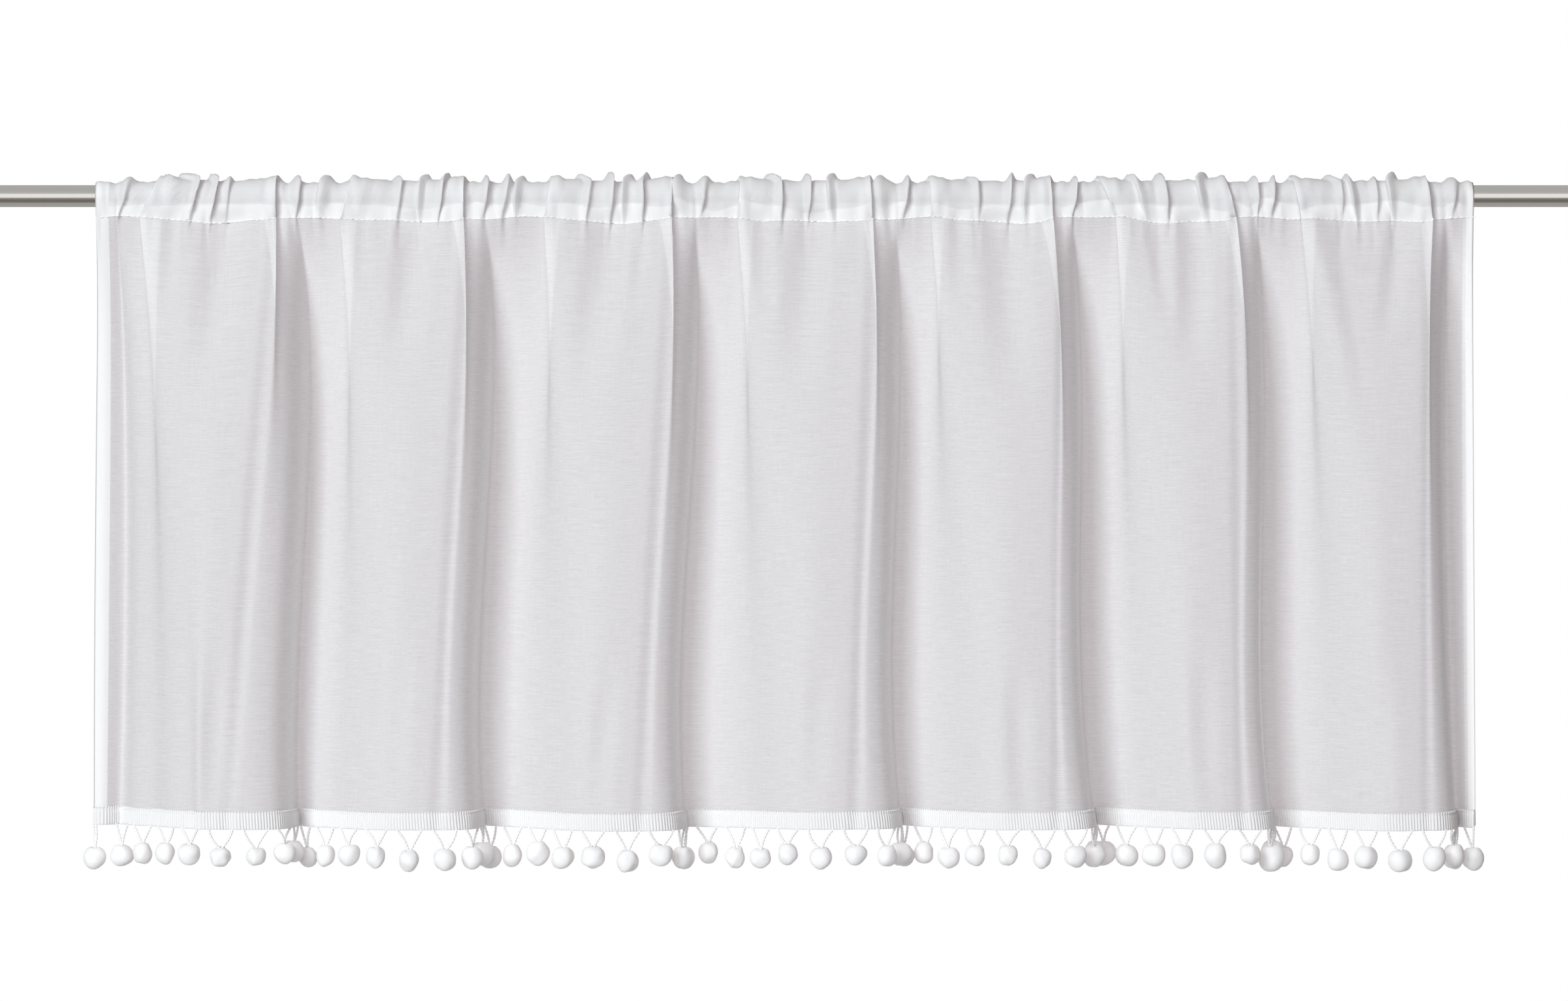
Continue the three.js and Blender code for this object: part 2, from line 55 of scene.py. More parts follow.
def grid_piece(name, points, wrap=False, poles=False, flip=False, uv=None):
    """A mesh of four-sided faces on one grid or many: points is (grids, rows, columns, xyz) or one grid.
    A face joins two neighbours of a row with the same two of the next row. wrap joins the last column to the
    first, poles merges the rows that shrink to a point, and flip turns the faces round. The object sits at
    the origin, smooth shaded, with the grid's flat coordinates as its UV map where they are given."""
    grids = points.reshape(-1, *points.shape[-3:])
    index = np.arange(grids.size // 3).reshape(grids.shape[:3])
    if wrap:
        index = np.concatenate([index, index[:, :, :1]], axis=2)
    corners = [index[:, :-1, :-1], index[:, :-1, 1:], index[:, 1:, 1:], index[:, 1:, :-1]]
    faces = np.stack(corners[::-1] if flip else corners, axis=-1).reshape(-1, 4)
    mesh = bpy.data.meshes.new(name)
    mesh.from_pydata(grids.reshape(-1, 3).tolist(), [], faces.tolist())
    if uv is not None:
        layer = mesh.uv_layers.new(name="flat")
        layer.data.foreach_set("uv", uv.reshape(-1, 2)[faces.ravel()].ravel())
    if poles:
        shape = bmesh.new()
        shape.from_mesh(mesh)
        bmesh.ops.remove_doubles(shape, verts=shape.verts, dist=SAME_POINT)
        shape.to_mesh(mesh)
        shape.free()
    mesh.shade_smooth()
    piece = bpy.data.objects.new(name, mesh)
    bpy.context.scene.collection.objects.link(piece)
    return piece


def node_adder(tree):
    """Empties a node tree and gives a function that adds one node to it: its kind, its settings, and its
    inputs by name or by order, where an input is a number, a colour or another node's output."""
    tree.nodes.clear()

    def add(kind, inputs=(), **settings):
        """The new node. Its settings are made before its inputs are filled."""
        node = tree.nodes.new("ShaderNode" + kind)
        for key, value in settings.items():
            setattr(node, key, value)
        for key, value in inputs.items() if isinstance(inputs, dict) else enumerate(inputs):
            if isinstance(value, bpy.types.NodeSocket):
                tree.links.new(value, node.inputs[key])
            else:
                node.inputs[key].default_value = value
        return node

    return add


def finish_nodes(name):
    """A material with no nodes in it yet, and the function that adds them."""
    material = bpy.data.materials.new(name)
    material.use_nodes = True
    return material, node_adder(material.node_tree)


def two_tones(add, factor, dark, light):
    """A colour that goes straight from dark to light as a factor goes from 0 to 1."""
    ramp = add("ValToRGB", {"Fac": factor})
    ramp.color_ramp.elements[0].color = dark
    ramp.color_ramp.elements[1].color = light
    return ramp.outputs["Color"]


def rod_points():
    """A profile of distance along the rod and radius, turned about the rod's axis: flat end, bevel, straight
    side, bevel, flat end."""
    side = np.linspace(ROD_BEVEL, ROD_LENGTH - ROD_BEVEL, ROD_STATIONS)
    inner = ROD_RADIUS - ROD_BEVEL
    along = np.concatenate([[0, 0, 0], side, [ROD_LENGTH, ROD_LENGTH, ROD_LENGTH]])
    end = np.array([0, ROD_END_RING * inner, inner])
    radius = np.concatenate([end, np.full(ROD_STATIONS, ROD_RADIUS), end[::-1]])
    angle = np.linspace(0, 2 * np.pi, ROD_SIDES, endpoint=False)
    x = np.repeat(along[:, None], ROD_SIDES, axis=1)
    return np.stack([x, radius[:, None] * np.cos(angle), radius[:, None] * np.sin(angle)], axis=-1)


def brushed_steel():
    """Satin steel: streaks that run along the rod shift its roughness a little and roughen its surface."""
    material, add = finish_nodes("satin_brushed_steel")
    place = add("TexCoord").outputs["Object"]
    stretched = add("Mapping", {"Vector": place, "Scale": (6, 2600, 2600)}).outputs["Vector"]
    streaks = add("TexNoise", {"Vector": stretched, "Scale": 1, "Detail": 3}).outputs["Fac"]
    rough = add("MapRange", {"Value": streaks, "To Min": 0.2, "To Max": 0.34}).outputs["Result"]
    shade = two_tones(add, streaks, (0.58, 0.57, 0.54, 1), (0.7, 0.69, 0.66, 1))
    bump = add("Bump", {"Height": streaks, "Strength": 0.12, "Distance": 0.02 * MM}).outputs["Normal"]
    steel = add("BsdfPrincipled", {
        "Base Color": shade, "Metallic": 1, "Roughness": rough, "Normal": bump,
    })
    add("OutputMaterial", {"Surface": steel.outputs["BSDF"]})
    return material


rod = grid_piece("steel_rod", rod_points(), wrap=True, poles=True, flip=True)
rod.data.materials.append(brushed_steel())
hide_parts("rod")
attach(rod, "root")


# The curtain
# One piece of sheer white voile. Its top is turned under and stitched down as a pocket round the rod, its
# sides are turned in twice as narrow hems and its lower edge is turned up behind the trim. Half as wide again
# as it hangs, it stands in seven pleats that lap just below the pocket, with tucks crowded along the pocket.
ROD_MIDDLE = ROD_LENGTH / 2
FLAT_WIDTH = 1400 * MM
SEAM_BELOW_ROD = 15 * MM
MIDDLE_DROP, HEM_DROP = 208 * MM, 415 * MM
POCKET_RADIUS = 8.3 * MM
# The seam hangs this far in front of the rod's axis
SEAM_FORWARD = 4 * MM

# Where each pleat lies, in mm from the rod's middle: on top of the rod, at the seam, half way down and at
# the hem
VALLEYS = MM * np.array([
    [-452, -456, -453, -457], [-329, -332, -328, -333], [-203, -203, -204, -206], [-62, -61, -65, -67],
    [78, 76, 77, 81], [198, 197, 204, 214], [322, 323, 329, 336], [455, 454, 452, 461],
])
LEFT_FOLDS = MM * np.array([
    [-426, -440, -433, -432], [-295, -303, -302, -309], [-159, -164, -166, -171], [-30, -32, -28, -24],
    [99, 100, 104, 109], [214, 226, 230, 242], [346, 352, 361, 370],
])
RIGHT_FOLDS = MM * np.array([
    [-346, -346, -355, -363], [-218, -218, -222, -226], [-76, -76, -82, -86], [59, 61, 58, 59],
    [182, 184, 187, 195], [301, 309, 313, 318], [438, 443, 438, 443],
])
# How strongly a hollow between two pleats, and the fold to its left, swing to the right high up and to the
# left low down
HOLLOW_SWING = 45 * MM
LEFT_EDGE = MM * np.array([[-470, -469.5, -473, -474]])
RIGHT_EDGE = MM * np.array([[470.5, 470.5, 472, 473]])
# How far the cloth doubles back behind each fold, in mm, under the heading and at the hem
LEFT_LAPS = MM * np.array([[16, 2], [12, 1], [12, 0], [12, 1], [10, 0], [11, 1], [12, 1]])
RIGHT_LAPS = MM * np.array([[9, 1], [9, 1], [10, 1], [8, 1], [9, 1], [9, 1], [9, 1]])
# How much further to the front each pleat hangs at the hem, in mm
FORWARD_AT_HEM = MM * np.array([0, 1, -1, 3, 4, -2, -2])

# One pleat from its valley to the next: which place a point is measured from (0 valley, 1 left fold,
# 2 middle, 3 right fold, 4 right fold too), its distance from there as a plain ridge in mm, how far it stands
# off the rod in the heading in mm, its distance from there in laps and, where the fold hangs open, in mm or
# for 4 in hundredths of the way to the next valley, and its place from the back (0) to the front (1) of the
# fold
PLEAT_POINTS = np.array([
    [0, -1, 0, 0, -2, -0.04],
    [0, 1, 0, 0, 2, -0.04],
    [1, -7, 0.2, -0.9, -13, 0.24],
    [1, -4, 0.6, 0.5, -6, 0.35],
    [1, -2.6, 2, 1.2, 0, 0.45],
    [1, -1.6, 3.6, 0.45, 6, 0.55],
    [1, 0, 5, -0.2, 12, 0.65],
    [1, 2.4, 4.6, 0.5, 19, 0.77],
    [1, 9, 2, 1.8, 27, 0.89],
    [2, 0, 0.8, 0, 0, 1.03],
    [3, -9, 2, -1.8, -24, 1.02],
    [3, -2.4, 4.6, -0.5, -13, 1],
    [3, 0, 5, 0.2, -3, 0.97],
    [4, 1.6, 3.6, -0.45, 16, 0.95],
    [4, 2.6, 2, -1.2, 43, 0.9],
    [4, 4, 0.6, -0.5, 69, 0.81],
    [4, 7, 0.2, 0.9, 87, 0.52],
])
POINT_FROM = PLEAT_POINTS[:, 0].astype(int)
POINT_RIDGE, POINT_HEADING = MM * PLEAT_POINTS[:, 1], MM * PLEAT_POINTS[:, 2]
POINT_LAPS, POINT_HANG, POINT_FOLD = PLEAT_POINTS[:, 3:].T
# The place in the fold that hangs straight below the seam
FOLD_MIDDLE = 0.55
# The two plain points at each side edge: how far in and how far off the rod, in mm, and the place in the fold
# at the left and at the right, where the edge turns to the front
BORDER_POINTS = np.array([[0, 0.6, 0.12, 0.42], [7, 0.4, 0.15, 0.3]])
BORDER_INSET, BORDER_HEADING = MM * BORDER_POINTS[:, 0], MM * BORDER_POINTS[:, 1]
LEFT_BORDER_FOLD, RIGHT_BORDER_FOLD = BORDER_POINTS[:, 2], BORDER_POINTS[:, 3]

# Tucks of the heading, all in mm: the place along the rod at the seam and on top of the rod, the height, half
# the width, how far the crest lies over to the right, and how far below the seam the tuck dies out
TUCKS = MM * np.array([
    [-452, -447, 4, 3.8, 2.6, 4],
    [-430, -423, 2.5, 3.8, -1.7, 9],
    [-419, -413, 4.5, 3.8, 2.6, 9],
    [-396, -392, 5.5, 3.8, 3.1, 9],
    [-380, -378, 2.5, 4.5, 1.4, 6],
    [-335, -333, 5, 3.4, 2.6, 9],
    [-315, -311, 5, 3.8, -2.6, 9],
    [-268, -266, 3.5, 4.5, 1.8, 8],
    [-246, -243, 4.5, 3.8, -2.2, 8],
    [-232, -229, 5, 3, 2.6, 6],
    [-208, -204, 5, 3.8, 2.6, 9],
    [-192, -188, 5.5, 3.8, 2.6, 9],
    [-181, -178, 4.5, 3, -2.6, 8],
    [-144, -141, 3.5, 4.5, 1.8, 8],
    [-121, -120, 6, 4.9, 3.1, 9],
    [-106, -104, 4, 3.8, -2.2, 8],
    [-91, -93, 5, 3.4, 2.6, 9],
    [-68, -70, 5, 3.4, -2.6, 9],
    [-57, -54, 5, 3.8, 2.6, 9],
    [-10, -12, 4.5, 3.8, 2.2, 9],
    [14, 15, 4.5, 4.1, 2.6, 9],
    [37, 34, 5, 3.8, -2.6, 9],
    [69, 67, 5, 3.4, -2.6, 9],
    [81, 84, 5, 3.8, 2.6, 9],
    [128, 126, 3.5, 5.2, 1.8, 9],
    [154, 156, 5, 3.8, 2.6, 9],
    [169, 171, 3.5, 3.4, -1.8, 6],
    [195, 198, 5, 3.8, 2.6, 9],
    [241, 235, 4.5, 3.8, -2.6, 9],
    [258, 255, 5.5, 4.5, 2.6, 9],
    [294, 288, 5, 3.8, -3.1, 9],
    [322, 320, 4.5, 3.4, 2.2, 8],
    [333, 334, 5, 3.8, 2.6, 9],
    [372, 370, 3.5, 4.5, 1.8, 8],
    [388, 384, 5, 4.1, -2.6, 9],
    [405, 403, 3, 3.8, 1.8, 6],
    [421, 417, 5, 4.1, -2.6, 9],
    [454, 456, 4, 3.8, 2.2, 4],
])
TUCK_SEAM, TUCK_HEAD, TUCK_HEIGHT, TUCK_HALF, TUCK_OVER, TUCK_FADE = TUCKS.T
# Stitching presses a tuck down to this share of its height and of its width at the seam
TUCK_PRESSED, TUCK_NARROWED = 0.35, 0.6
# Share of the way up from the seam to the top of the rod where a tuck has its full size
TUCK_FREE = 0.45
# Fine gathers between the tucks: their height, their lengths and drift along the rod from seam to top, and
# how far below the seam they die out
GATHER_HEIGHT = 0.7 * MM
GATHER_WAVES = MM * np.array([[7.3, 4], [11.9, -7], [17.3, 9]])
GATHER_FADE = 30 * MM

# Soft troughs of the hanging faces, all in mm: the place along the rod of the upper and of the lower end, how
# far below the seam each end lies, half the width, and the depth, which is below zero for a ridge
TROUGHS = MM * np.array([
    [-418, -421, 0, 100, 9, 1.9],
    [-381, -398, 0, 150, 20, 5.4],
    [-288, -286, 0, 70, 9, 1.9],
    [-250, -264, 0, 125, 18, 5.1],
    [-118, -142, 0, 155, 21, 5.1],
    [-96, -101, 0, 60, 8, 1.9],
    [19, 7, 0, 140, 20, 4.8],
    [-16, -12, 0, 80, 10, 2.2],
    [150, 155, 0, 145, 21, 5.1],
    [118, 121, 0, 70, 9, 1.6],
    [253, 262, 0, 80, 9, 2.6],
    [281, 277, 0, 120, 15, 4.5],
    [360, 394, 0, 190, 16, -4.2],
    [421, 406, 0, 100, 12, 2.9],
    [-386, -391, 330, 440, 13, 2.6],
    [-262, -268, 320, 440, 14, 2.4],
    [-122, -130, 335, 440, 13, 2.6],
    [22, 16, 330, 440, 15, 2.2],
    [158, 162, 340, 440, 13, 2.4],
    [284, 287, 325, 440, 14, 2.2],
    [404, 408, 335, 440, 13, 2.6],
    [-348, -417, 40, 900, 8, 1.7],
    [-216, -260, 40, 900, 8, 1.6],
    [-77, -124, 40, 900, 8, 1.7],
    [61, 32, 40, 900, 8, 1.8],
    [190, 180, 40, 900, 7, 1.5],
    [307, 318, 40, 900, 7, 1.5],
    [438, 436, 40, 900, 6, 1],
])
TROUGH_UPPER, TROUGH_LOWER, TROUGH_START, TROUGH_END, TROUGH_HALF, TROUGH_DEPTH = TROUGHS.T
# Shares of a trough's length between which it sinks in and between which it dies out, and the share of the
# way up to the top of the rod where none is left
TROUGH_SINKS, TROUGH_DIES, TROUGH_GONE = (-0.5, 0.15), (0.3, 1), 0.3
# Points of the pleat from which and to which its face runs
FACE_FIRST, FACE_LAST = 7, 12

# How the seam and the hem wander up and down: long and short waves, sizes and lengths in mm
SEAM_WAVE = MM * np.array([0.7, 15, 0.5, 7.3])
HEM_WAVE = MM * np.array([0.6, 93, 0.4, 38])

# How far the seam sags across each face, between the folds that hold it up
SEAM_SAG = 3 * MM

# How soon below the seam the gathers open into hanging folds
FOLD_GROWTH = 40 * MM
# Turns round the pocket, from straight under the rod, between which the laps die out
LAPS_DIE = 0.75 * np.pi, 1.1 * np.pi
# The deepest fold that is tried, how often the range is halved, and at how many drops
MOST_DEPTH = 100 * MM
FIT_HALVINGS = 30
DEPTH_STEPS = 84

# Turnings, in mm from the fold: side hems, the edge turned under in the pocket, the lower edge
SIDE_HEM = MM * np.array([1.5, 4, 7, 9.6, 10.4])
POCKET_TURNING = 10.5 * MM
LOWER_TURNING = MM * np.array([9, 6, 3, 0.6])
PLY = 0.3 * MM

# How unevenly the pocket's edge is turned in
TURNING_UNEVEN = 16 * MM
# Share of the weave's gaps that gathers and turnings close
GATHER_CLOSES, TURNING_CLOSES = 0.9, 0.97
# Share of the light that goes on through the yarn in single cloth, and how much less where it is turned
GLOW_SHARE, TURNING_STOPS = 0.3, 0.16
# Half of what the edge of a turning is blurred by, and of what the pocket's uneven one is
EDGE_SOFT, UNEVEN_SOFT = 0.5 * MM, 0.7 * MM

# How finely the cloth is cut into columns, and curves into steps where lengths are measured
SAMPLES_PER_POINT = 5
SAMPLES_PER_TUCK = 9
DENSE_PER_POINT = 12
# Rows of the panel, which crowd towards the seam, of the pocket's front, top and back, and of its turning.
# The back stops just before its foot, and the turning starts just after it
PANEL_ROWS, FRONT_ROWS, ARC_ROWS, BACK_ROWS, TURNED_IN_ROWS = 66, 10, 14, 9, 6
ROW_CROWDING = 1.15
BACK_STOPS, TURNING_STARTS = 0.04, 0.04


def smooth_step(value, low, high):
    """0 below low, 1 above high, and an S-shaped cubic between them."""
    share = np.clip((value - low) / (high - low), 0, 1)
    return share * share * (3 - 2 * share)


def unit(vectors):
    """Vectors divided by their lengths."""
    return vectors / np.linalg.norm(vectors, axis=-1, keepdims=True)


def running_length(points):
    """The sum of the steps from the first of a row of points to each."""
    steps = np.linalg.norm(np.diff(points, axis=0), axis=-1)
    return np.concatenate([[0], np.cumsum(steps)])


def wander(x, wave):
    """The sum of a long and a short sine wave along the rod."""
    long_size, long, short_size, short = wave
    return long_size * np.sin(x / long) + short_size * np.sin(x / short + 1)


def panel_levels(drop):
    """Levels of the hanging cloth, one for each drop below the seam. Its folds stand to the front."""
    drop = np.asarray(drop, float)
    none = np.zeros_like(drop)
    return {
        "drop": drop, "rise": none, "lapped": none + 1, "stand": none + 1, "wave": none + 1,
        "y": none - SEAM_FORWARD, "z": -SEAM_BELOW_ROD - drop, "out_y": none - 1, "out_z": none,
    }


def pocket_levels(turn):
    """Levels round the pocket, one for each turn in radians from straight under the rod, up the front and
    down the back: straight up from the seam in front, half a circle over the rod, and a quarter of an ellipse
    behind. The folds stand out from the rod. They lose their laps on the way over it, and lie flat down the
    back."""
    turn = np.asarray(turn, float)
    sine, cosine = np.sin(turn), np.cos(turn)
    lower = cosine > 0
    side = np.where(turn < np.pi, -1, 1)
    behind = np.where((turn > np.pi) & lower, cosine, 0)
    front_y = -SEAM_FORWARD - (POCKET_RADIUS - SEAM_FORWARD) * (1 - cosine)
    back_y = -SEAM_FORWARD - (POCKET_RADIUS + SEAM_FORWARD) * sine
    lower_y = np.where(turn < np.pi, front_y, back_y)
    return {
        "drop": np.zeros_like(turn),
        "rise": (1 - cosine) / 2,
        "lapped": 1 - smooth_step(turn, *LAPS_DIE),
        "stand": 1 - behind,
        "wave": np.clip(cosine, 0, 1),
        "y": np.where(lower, lower_y, -POCKET_RADIUS * sine) + 2 * PLY * behind,
        "z": -np.where(lower, SEAM_BELOW_ROD, POCKET_RADIUS) * cosine,
        "out_y": np.where(lower, side, -sine),
        "out_z": np.where(lower, 0, -cosine),
    }


def joined_levels(*parts):
    """Several runs of levels as one."""
    return {key: np.concatenate([part[key] for part in parts]) for key in parts[0]}


def edge_places(table, levels):
    """Place of each edge at each level: a straight line up the pocket from its place at the seam to its place
    on the rod, and below the seam the parabola through its places at seam, middle and hem."""
    head, seam, middle, hem = table.T[:, None, :]
    drop, rise = levels["drop"][:, None], levels["rise"][:, None]
    m, h = MIDDLE_DROP, HEM_DROP
    by_seam = seam * (drop - m) * (drop - h) / (m * h)
    by_middle = middle * drop * (drop - h) / (m * (m - h))
    by_hem = hem * drop * (drop - m) / (h * (h - m))
    return by_seam + by_middle + by_hem + (head - seam) * rise


def control_points(levels, depth):
    """The fold curve's control points at each level: along the rod, and out from it. A point lies its own
    distance from its edge, between that of a plain ridge and that of a lapped fold. Laps shrink and right
    flanks open by one less the fourth power of the height over the hem, and the rest opens more slowly, as a
    parabola. Hollows swing aside as a cubic that is zero at the seam, half way and at the hem. Out is the
    point's height in the heading, which gives way to its place in the hanging fold on the way down."""
    fall = levels["drop"] / HEM_DROP
    opened = (fall * (2 - fall))[:, None, None]
    spread = (1 - (1 - fall) ** 4)[:, None, None]
    lapped = levels["lapped"][:, None, None]
    valley = edge_places(VALLEYS, levels)
    left, right = edge_places(LEFT_FOLDS, levels), edge_places(RIGHT_FOLDS, levels)
    swing = (HOLLOW_SWING * fall * (1 - fall) * (1 - 2 * fall))[:, None]
    valley[:, 1:-1] += swing
    right[:, :-1] += swing
    edges = np.stack([valley[:, :-1], left, (left + right) / 2, right, right], axis=-1)
    far = spread[:, 0]
    left_lap, right_lap = (lap[:, 0] * (1 - far) + lap[:, 1] * far for lap in (LEFT_LAPS, RIGHT_LAPS))
    none = np.zeros_like(left_lap)
    laps = np.stack([none, left_lap, none, right_lap, right_lap], axis=-1)
    steps = np.stack([none + MM] * 4 + [(valley[:, 1:] - right) / 100], axis=-1)
    hangs = POINT_HANG * steps[..., POINT_FROM] * np.where(POINT_FROM > 2, spread, opened)
    lap_places = POINT_LAPS * laps[..., POINT_FROM] + hangs
    x = edges[..., POINT_FROM] + POINT_RIDGE * (1 - lapped) + lap_places * lapped
    deep = depth[:, None, None]
    out = POINT_HEADING * (1 - opened) + deep * (POINT_FOLD - FOLD_MIDDLE)
    out = out + FORWARD_AT_HEM[:, None] * opened
    rows = len(fall)
    border = BORDER_HEADING * (1 - opened[:, 0])
    left_border = border + depth[:, None] * (LEFT_BORDER_FOLD - FOLD_MIDDLE)
    right_border = border + depth[:, None] * (RIGHT_BORDER_FOLD - FOLD_MIDDLE)
    last = deep[:, 0] * (POINT_FOLD[0] - FOLD_MIDDLE)
    x = np.concatenate([
        edge_places(LEFT_EDGE, levels) + BORDER_INSET, x.reshape(rows, -1), valley[:, -1:],
        (edge_places(RIGHT_EDGE, levels) - BORDER_INSET)[:, ::-1],
    ], axis=1)
    out = np.concatenate([left_border, out.reshape(rows, -1), last, right_border[:, ::-1]], axis=1)
    return x, out


POINT_COUNT = 2 * len(BORDER_POINTS) + len(LEFT_FOLDS) * len(PLEAT_POINTS) + 1
LAST_PLACE = POINT_COUNT - 1


def spline_weights(place):
    """Weights of a uniform cubic B-spline: one row for each place along the curve and one column for each
    control point. A point mirrored beyond each end makes the curve start and end on its end points."""
    first = np.clip(np.floor(place).astype(int), 0, LAST_PLACE - 1)
    t = place - first
    four = [(1 - t) ** 3, 3 * t**3 - 6 * t**2 + 4, -3 * t**3 + 3 * t**2 + 3 * t + 1, t**3]
    weights = np.zeros((len(place), POINT_COUNT + 2))
    for step, weight in enumerate(four):
        weights[np.arange(len(place)), first + step] += weight / 6
    weights[:, [1, -2]] += 2 * weights[:, [0, -1]]
    weights[:, [2, -3]] -= weights[:, [0, -1]]
    return weights[:, 1:-1]


def fold_curve(levels, depth, place):
    """The cloth's section at each level without its small tucks: the B-spline of its control points."""
    weights = spline_weights(place).T
    return [points @ weights for points in control_points(levels, depth)]


DENSE_PLACES = np.linspace(0, LAST_PLACE, LAST_PLACE * DENSE_PER_POINT + 1)


def tuck_places():
    """Each tuck's place on the fold curve at the seam and on top of the rod, and half its width there, all in
    steps of control points, found on the curve whose ridges don't lap."""
    heading = {**panel_levels([0, 0]), "lapped": np.zeros(2), "rise": np.array([0, 1])}
    (seam, head), _ = fold_curve(heading, np.zeros(2), DENSE_PLACES)
    at_seam = np.interp(TUCK_SEAM, seam, DENSE_PLACES)
    at_head = np.interp(TUCK_HEAD, head, DENSE_PLACES)
    ends = np.interp([TUCK_SEAM - TUCK_HALF, TUCK_SEAM + TUCK_HALF], seam, DENSE_PLACES)
    return at_seam, at_head, (ends[1] - ends[0]) / 2


TUCK_AT_SEAM, TUCK_AT_HEAD, TUCK_REACH = tuck_places()


def face_troughs(levels, x, place):
    """How far the hanging faces sink: a squared cosine across each trough's centre line, which runs straight
    from its upper to its lower end and is full near the upper one. Only the face of a pleat has them, not the
    cloth behind its folds, and none runs up the pocket."""
    drop, rise = levels["drop"][:, None, None], levels["rise"][:, None]
    down = (drop - TROUGH_START) / (TROUGH_END - TROUGH_START)
    centre = TROUGH_UPPER + (TROUGH_LOWER - TROUGH_UPPER) * down
    across = np.clip(np.abs(x[..., None] - centre) / TROUGH_HALF, 0, 1)
    depth = TROUGH_DEPTH * smooth_step(down, *TROUGH_SINKS) * (1 - smooth_step(down, *TROUGH_DIES))
    sunk = (depth * np.cos(across * np.pi / 2) ** 2).sum(axis=-1)
    point = (place - len(BORDER_POINTS)) % len(PLEAT_POINTS)
    past_face = smooth_step(point, FACE_LAST, FACE_LAST + 1)
    on_face = smooth_step(point, FACE_FIRST - 1, FACE_FIRST) * (1 - past_face)
    return sunk * on_face * (1 - smooth_step(rise, 0, TROUGH_GONE))


def section(levels, depth, place):
    """The cloth's section at each level: the fold curve with the faces' troughs, and with the tucks and
    gathers raised on it. A tuck is a squared cosine that leans from its place at the seam to its place on the
    rod, with its crest lying over to one side. It is narrower and lower at the seam. A gather is a squared
    sine along the rod. Both die out below the seam."""
    x, out = fold_curve(levels, depth, place)
    drop, rise = levels["drop"][:, None], levels["rise"][:, None]
    centre = TUCK_AT_SEAM * (1 - rise) + TUCK_AT_HEAD * rise
    free = smooth_step(rise, 0, TUCK_FREE)
    reach = TUCK_REACH * (TUCK_NARROWED + (1 - TUCK_NARROWED) * free)
    across = np.abs(place - centre[..., None]) / reach[..., None]
    bumps = np.cos(np.clip(across, 0, 1) * np.pi / 2) ** 2
    stands = (TUCK_PRESSED + (1 - TUCK_PRESSED) * free) * (1 - smooth_step(drop, 0, TUCK_FADE))
    bumps = bumps * stands[..., None]
    over = np.einsum("t,ltu->lu", TUCK_OVER, bumps) * levels["lapped"][:, None]
    gathers = sum(np.sin(np.pi * (x + drift * rise) / length) ** 2 for length, drift in GATHER_WAVES)
    gathers = gathers * GATHER_HEIGHT * (1 - smooth_step(drop, 0, GATHER_FADE))
    out = out + gathers + np.einsum("t,ltu->lu", TUCK_HEIGHT, bumps) - face_troughs(levels, x, place)
    return x + over, out


def curve_lengths(x, out):
    """Running length along each section, from its left end."""
    steps = np.hypot(np.diff(x, axis=1), np.diff(out, axis=1))
    return np.concatenate([np.zeros((len(x), 1)), np.cumsum(steps, axis=1)], axis=1)


def fitted_depths(drops):
    """How deep the hanging folds are at each drop: halved towards the depth whose curve is as long as the
    cloth is wide, and shallower close under the seam, where fine gathers take up the rest."""
    levels = panel_levels(drops)
    low, high = np.zeros(len(drops)), np.full(len(drops), MOST_DEPTH)
    for _ in range(FIT_HALVINGS):
        middle = (low + high) / 2
        short = curve_lengths(*fold_curve(levels, middle, DENSE_PLACES))[:, -1] < FLAT_WIDTH
        low, high = np.where(short, middle, low), np.where(short, high, middle)
    return low * (1 - np.exp(-levels["drop"] / FOLD_GROWTH))


DEPTH_DROPS = np.linspace(0, HEM_DROP, DEPTH_STEPS)
DEPTHS = fitted_depths(DEPTH_DROPS)


def cloth_base(levels, place):
    """The cloth's middle surface as a grid of levels and places along the fold curve."""
    depth = np.interp(levels["drop"], DEPTH_DROPS, DEPTHS) * (levels["drop"] > 0)
    x, out = section(levels, depth, place)
    out = out * levels["stand"][:, None]
    fall = (levels["drop"] / HEM_DROP)[:, None]
    point = (place - len(BORDER_POINTS)) % len(PLEAT_POINTS)
    across = np.clip((point - FACE_FIRST) / (FACE_LAST - FACE_FIRST), 0, 1)
    seam_lift = wander(x, SEAM_WAVE) - SEAM_SAG * np.sin(np.pi * across)
    lift = levels["wave"][:, None] * (seam_lift * (1 - fall) ** 2 + wander(x, HEM_WAVE) * fall)
    y = levels["y"][:, None] + out * levels["out_y"][:, None]
    z = levels["z"][:, None] + out * levels["out_z"][:, None] + lift
    return np.stack([ROD_MIDDLE + x, y, z], axis=-1)


def cloth_surface(levels, place):
    """The middle surface and its unit vectors to the face side: along the fold curve times up the cloth."""
    small = 0.004
    base = cloth_base(levels, place)
    along = cloth_base(levels, np.clip(place + small, 0, LAST_PLACE))
    along = along - cloth_base(levels, np.clip(place - small, 0, LAST_PLACE))
    up = np.gradient(base, axis=0)
    return base, unit(np.cross(along, up))


